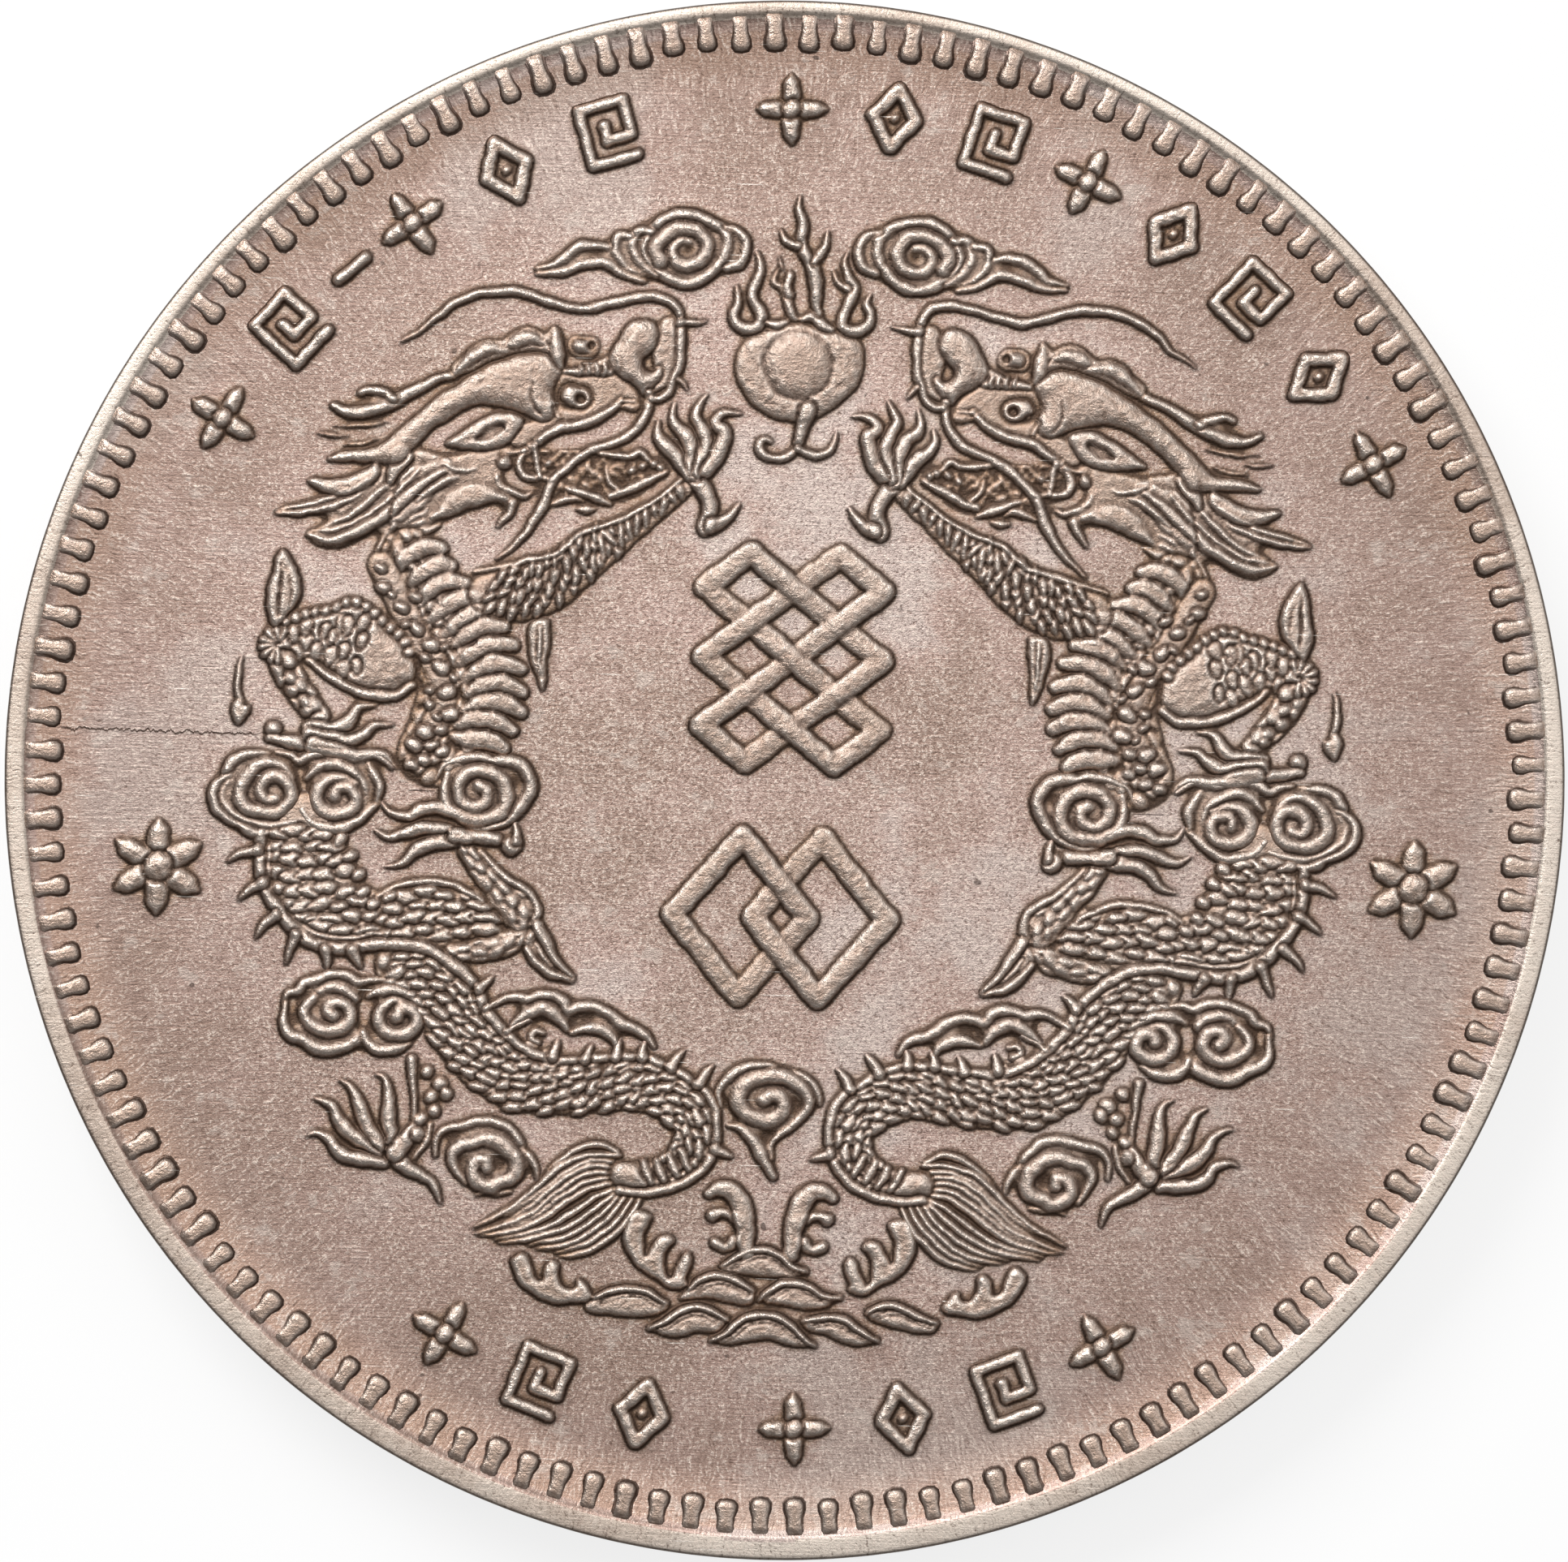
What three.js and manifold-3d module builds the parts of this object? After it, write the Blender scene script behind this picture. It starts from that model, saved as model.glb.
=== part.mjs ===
// Silver one-tael coin: a struck round planchet with a reeded edge, upset rims and a ring of
// denticles on both faces. The dragon face (+Z) carries two facing dragons round a flaming pearl,
// clouds and breaking waves. The other face (-Z) has a beaded circle, ruyi heads and a rosette.
// Millimetres. The origin is the centre of the lower rim's flat, and the dragon face looks up +Z.
import * as THREE from "three";
import { mergeVertices } from "three/addons/utils/BufferGeometryUtils.js";
import Module from "manifold-3d";

const wasm = await Module();
wasm.setup();
const { Manifold } = wasm;

// Driving dimensions. Levels are multiples of 1/32 mm, so touching faces share exact heights.
const COIN_DIAMETER = 41;
const COIN_THICKNESS = 3.21875;
const FIELD_DEPTH = 0.25;
const EDGE_CHAMFER = 0.09375;
const EDGE_COUNT = 136; // reeds round the edge, and denticles on each face
const REED_DEPTH = 0.12;
const RIM_INNER_RADIUS = 19.95;
const RIM_SIDES = EDGE_COUNT / 2;
const DENTICLE_LENGTH = 0.85;
const DENTICLE_HEIGHT = 0.1875;
const STRIKE_SHIFT = 0.15; // how far the dragon die was struck off the planchet's centre, along +Y

// Heights of the relief above its field.
const LOW_RELIEF = 0.09375;
const STRAND_RELIEF = 0.12;
const LIMB_RELIEF = 0.16;
const BODY_RELIEF = 0.17;
const HEAD_RELIEF = 0.2;
const CLOUD_COIL_RELIEF = 0.16;
const ORNAMENT_RELIEF = 0.14;

const COIN_RADIUS = COIN_DIAMETER / 2;
const DRAGON_FIELD = COIN_THICKNESS - FIELD_DEPTH;
const BACK_FIELD = FIELD_DEPTH;
const TAU = 2 * Math.PI;
const UNION_TOLERANCE = 0.025;

// Half cross-sections of a struck ridge: across, as a part of its half width, and up.
const ROUND_SECTION = [[-1, 0], [-0.5, 0.92], [0.5, 0.92], [1, 0]];
const SHARP_SECTION = [[-1, 0], [0, 1], [1, 0]];
const LEVEL_SECTION = [[-1, 0], [-1, 1], [1, 1], [1, 0]];

const toned = new THREE.MeshStandardMaterial({ color: 0xa98f84, roughness: 0.42, metalness: 0.85 });
const rubbed = new THREE.MeshStandardMaterial({ color: 0xc2b0a4, roughness: 0.34, metalness: 0.9 });
toned.flatShading = true;
rubbed.flatShading = true;

// Solids: closed shells made from loops of points, and their joins.

function addTriangle(triangles, a, b, c) {
  if (a !== b && b !== c && c !== a) triangles.push(a, b, c);
}

// A closed shell through loops of equal length. Open shells get a fan at each end; a ring closes
// its last loop on its first. Points that coincide are merged, so a loop may repeat a point.
function shell(loops, closesOnItself = false) {
  const size = loops[0].length;
  const positions = loops.flat().flatMap((point) => [point.x, point.y, point.z]);
  const geometry = new THREE.BufferGeometry();
  geometry.setAttribute("position", new THREE.Float32BufferAttribute(positions, 3));
  const index = [];
  const bands = closesOnItself ? loops.length : loops.length - 1;
  for (let band = 0; band < bands; band += 1) {
    const near = band * size;
    const far = ((band + 1) % loops.length) * size;
    for (let i = 0; i < size; i += 1) {
      const j = (i + 1) % size;
      index.push(near + i, near + j, far + j, near + i, far + j, far + i);
    }
  }
  if (!closesOnItself) {
    const last = (loops.length - 1) * size;
    for (let i = 1; i < size - 1; i += 1) {
      index.push(0, i + 1, i, last, last + i, last + i + 1);
    }
  }
  geometry.setIndex(index);
  return solid(geometry);
}

// Signed volume of a triangle list, to turn a shell's faces outward.
function signedVolume(position, triangles) {
  const [a, b, c] = [new THREE.Vector3(), new THREE.Vector3(), new THREE.Vector3()];
  let volume = 0;
  for (let t = 0; t < triangles.length; t += 3) {
    a.fromBufferAttribute(position, triangles[t]);
    b.fromBufferAttribute(position, triangles[t + 1]);
    c.fromBufferAttribute(position, triangles[t + 2]);
    volume += a.dot(b.cross(c)) / 6;
  }
  return volume;
}

function solid(geometry) {
  geometry.deleteAttribute("normal");
  geometry.deleteAttribute("uv");
  const merged = mergeVertices(geometry, 1e-4);
  const source = merged.index.array;
  const triangles = [];
  for (let t = 0; t < source.length; t += 3) {
    addTriangle(triangles, source[t], source[t + 1], source[t + 2]);
  }
  if (signedVolume(merged.attributes.position, triangles) < 0) triangles.reverse();
  const mesh = new wasm.Mesh({
    numProp: 3,
    vertProperties: new Float32Array(merged.attributes.position.array),
    triVerts: new Uint32Array(triangles),
  });
  return new Manifold(mesh);
}

function union(solids) {
  return solids.reduce((joined, next) => joined.add(next));
}

// Plan curves and the struck forms that follow them.

const flat = ([x, y]) => new THREE.Vector2(x, y);
const at = (point, z) => new THREE.Vector3(point.x, point.y, z);

function sampled(points, steps) {
  return new THREE.SplineCurve(points.map(flat)).getSpacedPoints(steps);
}

function between(values, part) {
  const place = part * (values.length - 1);
  const low = Math.min(Math.floor(place), values.length - 2);
  return THREE.MathUtils.lerp(values[low], values[low + 1], place - low);
}

// A ridge of the given half widths along a route, standing on a level field. It is as high as
// asked where it is widest and sinks with its width towards a thin end.
function ridgeAlong(
  route, halfWidths, height, section = SHARP_SECTION, field = DRAGON_FIELD, levels = [1, 1],
) {
  const widest = Math.max(...halfWidths);
  const last = route.length - 1;
  const loops = route.map((point, i) => {
    const ahead = route[Math.min(i + 1, last)];
    const behind = route[Math.max(i - 1, 0)];
    const across = new THREE.Vector2(behind.y - ahead.y, ahead.x - behind.x).normalize();
    const halfWidth = between(halfWidths, i / last);
    const level = between(levels, i / last);
    const rise = height * level * (0.4 + (0.6 * halfWidth) / widest);
    const points = typeof section === "function" ? section(i) : section;
    return points.map(([side, up]) => {
      const place = point.clone().addScaledVector(across, side * halfWidth);
      return at(place, field + up * rise);
    });
  });
  return shell(loops);
}

function ridge(points, halfWidths, height, steps = 2 * (points.length - 1), section) {
  return ridgeAlong(sampled(points, steps), halfWidths, height, section);
}

function bar(from, to, halfWidth, height, field = DRAGON_FIELD) {
  return ridgeAlong([flat(from), flat(to)], [halfWidth, halfWidth], height, LEVEL_SECTION, field);
}

function strands(routes, halfWidths, height) {
  return routes.map((points) => ridge(points, halfWidths, height, points.length - 1));
}

// A round-backed ridge whose crest and sides step in and out once for each rib.
function ribbedRidge(points, halfWidths, height, ribs) {
  const route = sampled(points, 2 * ribs);
  const stepped = route.map((_, i) => between(halfWidths, i / (2 * ribs)) * (i % 2 === 0 ? 0.95 : 1));
  const levels = route.map((_, i) => (i % 2 === 0 ? 0.8 : 1));
  return ridgeAlong(route, stepped, height, ROUND_SECTION, DRAGON_FIELD, levels);
}

// A ridge with a saw-toothed edge on one side (+1 is left of its way, -1 is right).
function sawRidge(points, halfWidth, spine, teeth, side, height) {
  const route = sampled(points, 2 * teeth);
  const section = (i) => {
    const outer = i % 2 === 0 ? 1 : 1 + spine / halfWidth;
    return [[-side, 0], [0, 1], [side * outer, 0]];
  };
  return ridgeAlong(route, [halfWidth, halfWidth], height, section);
}

// A fan of tapering strands that spread from a root line to their tips, made as one loft.
function fan(rootFrom, rootTo, tips, height, bow = 0) {
  const count = 2 * tips.length;
  const loops = [0, 0.4, 0.75, 1].map((part) => {
    const loop = [];
    for (let i = 0; i <= count; i += 1) {
      const isValley = i % 2 === 0;
      const low = Math.max(Math.ceil(i / 2) - 1, 0);
      const high = Math.min(Math.floor(i / 2), tips.length - 1);
      const root = flat(rootFrom).lerp(flat(rootTo), i / count);
      const tip = flat(tips[low]).lerp(flat(tips[high]), 0.5);
      const reach = isValley ? part * 0.84 : part;
      const bend = bow * Math.sin(Math.PI * part);
      const place = root.lerp(tip, reach);
      const isEdge = i === 0 || i === count;
      const crest = height * (1 - 0.55 * part);
      place.y += bend;
      loop.push(at(place, DRAGON_FIELD + (isEdge ? 0 : crest * (isValley ? 0.6 : 1))));
    }
    return loop;
  });
  return shell(loops);
}

// A level plate of the given outline, with its upper edge bevelled where asked.
function plate(outline, height, bevel = 0, field = DRAGON_FIELD) {
  const shape = new THREE.Shape(outline);
  const geometry = new THREE.ExtrudeGeometry(shape, {
    depth: height - bevel,
    bevelEnabled: bevel > 0,
    bevelSegments: 1,
    bevelThickness: bevel,
    bevelSize: bevel,
    bevelOffset: -bevel,
    curveSegments: 6,
  });
  geometry.translate(0, 0, field);
  const body = solid(geometry);
  if (bevel === 0) return body;
  const reach = 2 * COIN_RADIUS;
  const below = new THREE.BoxGeometry(reach, reach, 1).translate(0, 0, field - 0.5);
  return body.subtract(solid(below));
}

function smoothPlate(points, height, steps = points.length, bevel = 0) {
  const curve = new THREE.CatmullRomCurve3(points.map(([x, y]) => new THREE.Vector3(x, y, 0)), true);
  const outline = curve.getSpacedPoints(steps).slice(0, -1);
  return plate(outline.map((point) => new THREE.Vector2(point.x, point.y)), height, bevel);
}

// The outline of a band of even width with mitred corners.
function band(corners, halfWidth) {
  const last = corners.length - 1;
  const side = (sign) => corners.map((corner, i) => {
    const point = flat(corner);
    const into = point.clone().sub(flat(corners[Math.max(i - 1, 0)])).normalize();
    const out = flat(corners[Math.min(i + 1, last)]).sub(point).normalize();
    const way = into.lengthSq() === 0 ? out : into;
    const on = out.lengthSq() === 0 ? into : out;
    const normal = new THREE.Vector2(-way.y - on.y, way.x + on.x).normalize();
    const miter = halfWidth / Math.max(normal.dot(new THREE.Vector2(-way.y, way.x)), 0.4);
    const end = i === 0 ? -1 : Number(i === last);
    return point.addScaledVector(normal, sign * miter).addScaledVector(way, end * halfWidth);
  });
  return [...side(1), ...side(-1).reverse()];
}

// A level frame: an outline with a like-shaped hole in it.
function frame(outline, hole, height, field = DRAGON_FIELD) {
  const shape = new THREE.Shape(outline.map(flat));
  shape.holes.push(new THREE.Path(hole.map(flat)));
  const geometry = new THREE.ExtrudeGeometry(shape, { depth: height, bevelEnabled: false });
  return solid(geometry.translate(0, 0, field));
}

// A round boss or ball: a low dome turned from a profile.
function dome(centre, radius, height, sides = 6, field = DRAGON_FIELD) {
  const profile = [[0, 0], [1, 0], [0.55, 0.85], [0, 1]];
  const points = profile.map(([out, up]) => new THREE.Vector2(out * radius, up * height));
  const geometry = new THREE.LatheGeometry(points, sides).rotateX(Math.PI / 2);
  return solid(geometry.translate(centre[0], centre[1], field));
}

function wheelRoute(centre, radii, turns, startAngle, steps) {
  const route = [];
  for (let i = 0; i <= steps; i += 1) {
    const part = i / steps;
    const radius = THREE.MathUtils.lerp(radii[0], radii[1], part);
    const angle = startAngle + TAU * turns * part;
    route.push(new THREE.Vector2(centre[0] + radius * Math.cos(angle), centre[1] + radius * Math.sin(angle)));
  }
  return route;
}

// The planchet: one turned blank with a milled edge and an upset rim round each sunk field.

function circle(radius, z, sides) {
  const points = [];
  for (let i = 0; i < 2 * EDGE_COUNT; i += 1) {
    const step = Math.floor((i * sides) / (2 * EDGE_COUNT));
    const angle = (TAU * step) / sides;
    points.push(new THREE.Vector3(radius * Math.cos(angle), radius * Math.sin(angle), z));
  }
  return points;
}

function reededCircle(z) {
  const points = [];
  for (let i = 0; i < 2 * EDGE_COUNT; i += 1) {
    const radius = i % 2 === 0 ? COIN_RADIUS : COIN_RADIUS - REED_DEPTH;
    const angle = (TAU * i) / (2 * EDGE_COUNT);
    points.push(new THREE.Vector3(radius * Math.cos(angle), radius * Math.sin(angle), z));
  }
  return points;
}

function planchet() {
  const landRadius = COIN_RADIUS - REED_DEPTH - EDGE_CHAMFER;
  return shell([
    circle(RIM_INNER_RADIUS, BACK_FIELD, RIM_SIDES),
    circle(RIM_INNER_RADIUS, 0, RIM_SIDES),
    circle(landRadius, 0, RIM_SIDES),
    reededCircle(EDGE_CHAMFER),
    reededCircle(COIN_THICKNESS - EDGE_CHAMFER),
    circle(landRadius, COIN_THICKNESS, RIM_SIDES),
    circle(RIM_INNER_RADIUS, COIN_THICKNESS, RIM_SIDES),
    circle(RIM_INNER_RADIUS, DRAGON_FIELD, RIM_SIDES),
  ]);
}

// A ring of wedge-shaped teeth that point inward from the rim, highest near their bulb.
function denticles(field, up, shift) {
  const [base, crest, wallTop, wallFoot] = [[], [], [], []];
  const rootRadius = RIM_INNER_RADIUS - 0.25;
  const tipRadius = rootRadius - DENTICLE_LENGTH + 0.25;
  const crestRadius = tipRadius + 0.25;
  const crestHeight = field + up * DENTICLE_HEIGHT;
  const polar = (radius, angle, z, y) =>
    new THREE.Vector3(radius * Math.cos(angle), radius * Math.sin(angle) + y, z);
  for (let tooth = 0; tooth < EDGE_COUNT; tooth += 1) {
    const valley = polar(rootRadius, (TAU * tooth) / EDGE_COUNT, field, shift);
    const spine = (TAU * (tooth + 0.5)) / EDGE_COUNT;
    const wall = (TAU * Math.floor(tooth / 2)) / RIM_SIDES;
    const top = polar(RIM_INNER_RADIUS, wall, crestHeight, 0);
    const foot = polar(RIM_INNER_RADIUS, wall, field, 0);
    base.push(valley, polar(tipRadius, spine, field, shift));
    crest.push(valley, polar(crestRadius, spine, crestHeight, shift));
    wallTop.push(top, top);
    wallFoot.push(foot, foot);
  }
  return shell([base, crest, wallTop, wallFoot], true);
}

// The left dragon's forequarters: head, whiskers, mane, neck and both fore legs.

const WHISKERS = [
  [[-3.97, 9.9], [-3.12, 10.79], [-3.1, 11.6], [-3.45, 12.55], [-4.33, 12.61], [-5.8, 12.18],
    [-7.05, 12.58], [-8.37, 12.51], [-9.39, 11.92], [-10.46, 11.21]],
  [[-3.87, 10], [-4.06, 9.18], [-5.26, 8.47], [-6.3, 7.65], [-6.58, 6.88], [-7.72, 5.57]],
];
const HEAD_OUTLINE = [
  [-4.04, 12], [-4.74, 11.3], [-6.2, 11.75], [-8, 11.4], [-9.1, 10.4], [-9.7, 8.8], [-9.6, 6.6], [-8, 6.8],
  [-6.6, 7.2], [-4.8, 7.1], [-3.35, 7.98], [-5.6, 8.7], [-4.1, 10],
];
const HEAD_RIDGES = [
  { points: [[-4.1, 10.2], [-4.4, 11], [-4.1, 11.9]], widths: [0.35, 0.5, 0.2] },
  { points: [[-4.9, 10.7], [-6.2, 10.35], [-7.5, 10.2], [-9, 9.6]], widths: [0.28, 0.36, 0.6, 0.3] },
  { points: [[-6.1, 11.6], [-7.4, 11.55], [-8.9, 10.5]], widths: [0.15, 0.24, 0.15] },
  { points: [[-4.44, 9.87], [-5.6, 9.15], [-7.12, 8.4]], widths: [0.14, 0.22, 0.12] },
  { points: [[-3.4, 7.95], [-4.8, 7.3], [-5.8, 7.25], [-6.8, 7.8]], widths: [0.08, 0.16, 0.2, 0.14] },
  { points: [[-7.3, 9.3], [-8.2, 9.1], [-9.15, 8.45]], widths: [0.15, 0.34, 0.1] },
  { points: [[-7.4, 7.3], [-8.3, 7.3], [-9.4, 6.7]], widths: [0.12, 0.34, 0.12] },
];
const EYES = [[-5.55, 11.23], [-5.78, 9.87]];
const EYE_RADIUS = 0.33;
const HORN = [[-8.6, 10], [-9.4, 9.2], [-10.3, 8.5], [-11.3, 7.75], [-12.77, 7.45]];
const TINE = [[-10.4, 8.4], [-11.2, 8.3], [-12.2, 8.05]];
const MANE_LOCKS = [
  [[-8.8, 10.5], [-9.98, 10.02], [-11, 9.38], [-12.22, 9.43]],
  [[-8.7, 8.2], [-9.69, 7.41], [-10.9, 6.35], [-12.77, 6.05]],
  [[-9.3, 7.9], [-10.93, 7.34], [-12.4, 6.86], [-13.61, 6.57]],
];
const NECK = [
  [-9, 7.2], [-9.75, 6.2], [-9.7, 5.1], [-8.95, 3.9], [-8.4, 2.8], [-8.25, 1.8], [-8.6, 0.8],
];
const NECK_HALF_WIDTHS = [0.8, 0.95, 1.05, 1.15, 1.15, 1.1, 1];
const BELLY_PLATE_COUNT = 9;
const SHOULDER = [[-13.5, 3.1], [-12.2, 3.35], [-10.8, 3.1], [-9.6, 2.6]];
const ELBOW_SPIKE = [[-13.2, 3.2], [-13.25, 4.6], [-13.55, 5.67]];
const FOREARM = [[-13.3, 3], [-12.8, 1.9], [-12.3, 0.9]];
const FORE_FOOT = [[-13.6, 0.8], [-12.6, 0.72], [-11.9, 0.75]];
const FORE_TOES = [
  [[-12.4, 0.7], [-11.7, 1.05], [-10.79, 1.62]],
  [[-12.3, 0.7], [-11.4, 0.8], [-10.34, 1.14]],
  [[-12.2, 0.65], [-11.2, 0.55], [-10.22, 0.5]],
];
const RAISED_LEG = [[-8.6, 4.3], [-7.3, 4.75], [-6.2, 5.1], [-5, 5.95], [-3.9, 6.75], [-2.65, 7.85]];
const RAISED_LEG_HALF_WIDTHS = [0.8, 0.72, 0.62, 0.48, 0.34, 0.24];
const RAISED_TOES = [
  [[-2.8, 7.75], [-3.25, 8.6], [-3.62, 9.34]],
  [[-2.7, 7.8], [-2.8, 8.8], [-3.19, 9.81]],
  [[-2.5, 7.8], [-2.5, 9], [-2.37, 10.05]],
  [[-2.35, 7.75], [-2.05, 9], [-1.44, 9.64]],
];
const RAISED_HEEL = [[-2.65, 7.9], [-2.28, 6.75], [-1.44, 7.2]];

function dragonForequarters() {
  const pieces = [smoothPlate(HEAD_OUTLINE, LOW_RELIEF)];
  for (const { points, widths } of HEAD_RIDGES) {
    pieces.push(ridge(points, widths, HEAD_RELIEF, points.length - 1));
  }
  for (const eye of EYES) pieces.push(dome(eye, EYE_RADIUS, HEAD_RELIEF));
  pieces.push(ridge(WHISKERS[0], [0.1, 0.1, 0.08, 0.04], STRAND_RELIEF, 9));
  pieces.push(ridge(WHISKERS[1], [0.12, 0.1, 0.06], HEAD_RELIEF, 5));
  pieces.push(ridge(HORN, [0.3, 0.26, 0.22, 0.05], HEAD_RELIEF, 5));
  pieces.push(ridge(TINE, [0.2, 0.16, 0.04], LIMB_RELIEF, 2));
  pieces.push(...strands(MANE_LOCKS, [0.28, 0.22, 0.04], LIMB_RELIEF));
  pieces.push(ribbedRidge(NECK, NECK_HALF_WIDTHS, HEAD_RELIEF, BELLY_PLATE_COUNT));
  pieces.push(ridge(SHOULDER, [0.5, 0.85, 0.8, 0.4], LIMB_RELIEF, 3, ROUND_SECTION));
  pieces.push(ridge(ELBOW_SPIKE, [0.4, 0.28, 0.05], LIMB_RELIEF, 3));
  pieces.push(ridge(FOREARM, [0.45, 0.36, 0.22], LIMB_RELIEF, 2));
  pieces.push(ridge(FORE_FOOT, [0.16, 0.24, 0.16], LIMB_RELIEF, 2));
  pieces.push(...strands(FORE_TOES, [0.15, 0.14, 0.04], LIMB_RELIEF));
  pieces.push(ridge(RAISED_LEG, RAISED_LEG_HALF_WIDTHS, LIMB_RELIEF, 5, ROUND_SECTION));
  pieces.push(...strands(RAISED_TOES, [0.18, 0.15, 0.04], LIMB_RELIEF));
  pieces.push(ridge(RAISED_HEEL, [0.26, 0.2, 0.04], LIMB_RELIEF, 4));
  return union(pieces);
}

// The left dragon's hindquarters: the coiled body, both hind legs, the dorsal spines and the tail.

const UPPER_COIL = [
  [-12.8, -1.95], [-12.7, -2.7], [-12.1, -3.4], [-11, -3.9], [-9.6, -3.95], [-8.2, -4.1], [-6.9, -3.95],
];
const UPPER_COIL_HALF_WIDTHS = [0.85, 0.95, 0.95, 0.9, 0.85, 0.9, 0.6];
const LOWER_COIL = [
  [-8.3, -4.9], [-8.6, -6], [-8.2, -6.9], [-7.4, -7.75], [-6.2, -8.25], [-4.8, -8.25], [-3.4, -8.2],
  [-2.4, -8.5], [-2, -9.3], [-2.3, -10.15], [-3.2, -10.5], [-4.1, -10.5],
];
const LOWER_COIL_HALF_WIDTHS = [0.4, 0.8, 0.95, 0.9, 0.75, 0.65, 0.62, 0.58, 0.5, 0.48, 0.45, 0.42];
const UPPER_SPINE = [
  [-13.72, -1.97], [-13.64, -3.08], [-12.84, -4.26], [-11.6, -4.78], [-10, -4.61], [-8.54, -5.09],
];
const LOWER_SPINE = [
  [-7.59, -6.35], [-6.12, -7.5], [-3.85, -7.55], [-1.98, -8.1], [-1.45, -9.3], [-2.14, -10.5],
];
const SPINE_HALF_WIDTH = 0.18;
const SPINE_LENGTH = 0.5;
const SHIN = [[-8.3, -1.85], [-7.6, -3], [-6.5, -3.85]];
const KNEE_SPIKE = [[-6.8, -3.9], [-6.1, -4.7], [-5.36, -5.4]];
const HIND_FOOT = [[-8.9, -1.75], [-7.6, -1.85], [-6.95, -1.3]];
const HIND_TOES = [
  [[-8.1, -1.6], [-9.2, -1.1], [-10.42, -0.93]],
  [[-8.1, -1.75], [-9.4, -1.65], [-10.73, -1.66]],
  [[-8.1, -1.85], [-9.3, -2.1], [-10.45, -2.6]],
];
const LOWER_LEG = [[-8.6, -7.4], [-8.9, -8.9], [-9.85, -10.1]];
const LOWER_TOES = [
  [[-9.85, -10.1], [-11, -10.2], [-12.22, -9.81]],
  [[-9.85, -10.1], [-11.1, -9.5], [-12.1, -8.79]],
  [[-9.85, -10], [-10.7, -9.1], [-11.37, -8.26]],
  [[-9.8, -9.9], [-10.15, -9], [-10.48, -8.06]],
  [[-9.7, -10], [-9.1, -10.7], [-8.65, -11.48]],
];
const TAIL_ROOT = [[-3.75, -10.05], [-3.75, -11.15]];
const TAIL_TIPS = [[-7, -11.4], [-7.7, -12.2], [-6.9, -12.4], [-6, -12.55], [-5.2, -12.5], [-4.6, -12.2]];
const TAIL_BOW = 0.35;

function dragonHindquarters() {
  return union([
    ridge(UPPER_COIL, UPPER_COIL_HALF_WIDTHS, BODY_RELIEF, 6, ROUND_SECTION),
    ridge(LOWER_COIL, LOWER_COIL_HALF_WIDTHS, BODY_RELIEF, 10, ROUND_SECTION),
    sawRidge(UPPER_SPINE, SPINE_HALF_WIDTH, SPINE_LENGTH, 6, -1, HEAD_RELIEF),
    sawRidge(LOWER_SPINE, SPINE_HALF_WIDTH, SPINE_LENGTH, 6, 1, HEAD_RELIEF),
    ridge(SHIN, [0.28, 0.4, 0.5], HEAD_RELIEF, 3, ROUND_SECTION),
    ridge(KNEE_SPIKE, [0.4, 0.3, 0.05], LIMB_RELIEF, 3),
    ridge(HIND_FOOT, [0.25, 0.22, 0.05], LIMB_RELIEF, 3),
    ...strands(HIND_TOES, [0.2, 0.15, 0.04], LIMB_RELIEF),
    ridge(LOWER_LEG, [0.6, 0.42, 0.3], LIMB_RELIEF, 3, ROUND_SECTION),
    ...strands(LOWER_TOES, [0.2, 0.14, 0.04], LIMB_RELIEF),
    fan(...TAIL_ROOT, TAIL_TIPS, BODY_RELIEF, TAIL_BOW),
  ]);
}

// Clouds: a low scalloped plate with raised coils and arcs.

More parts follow.
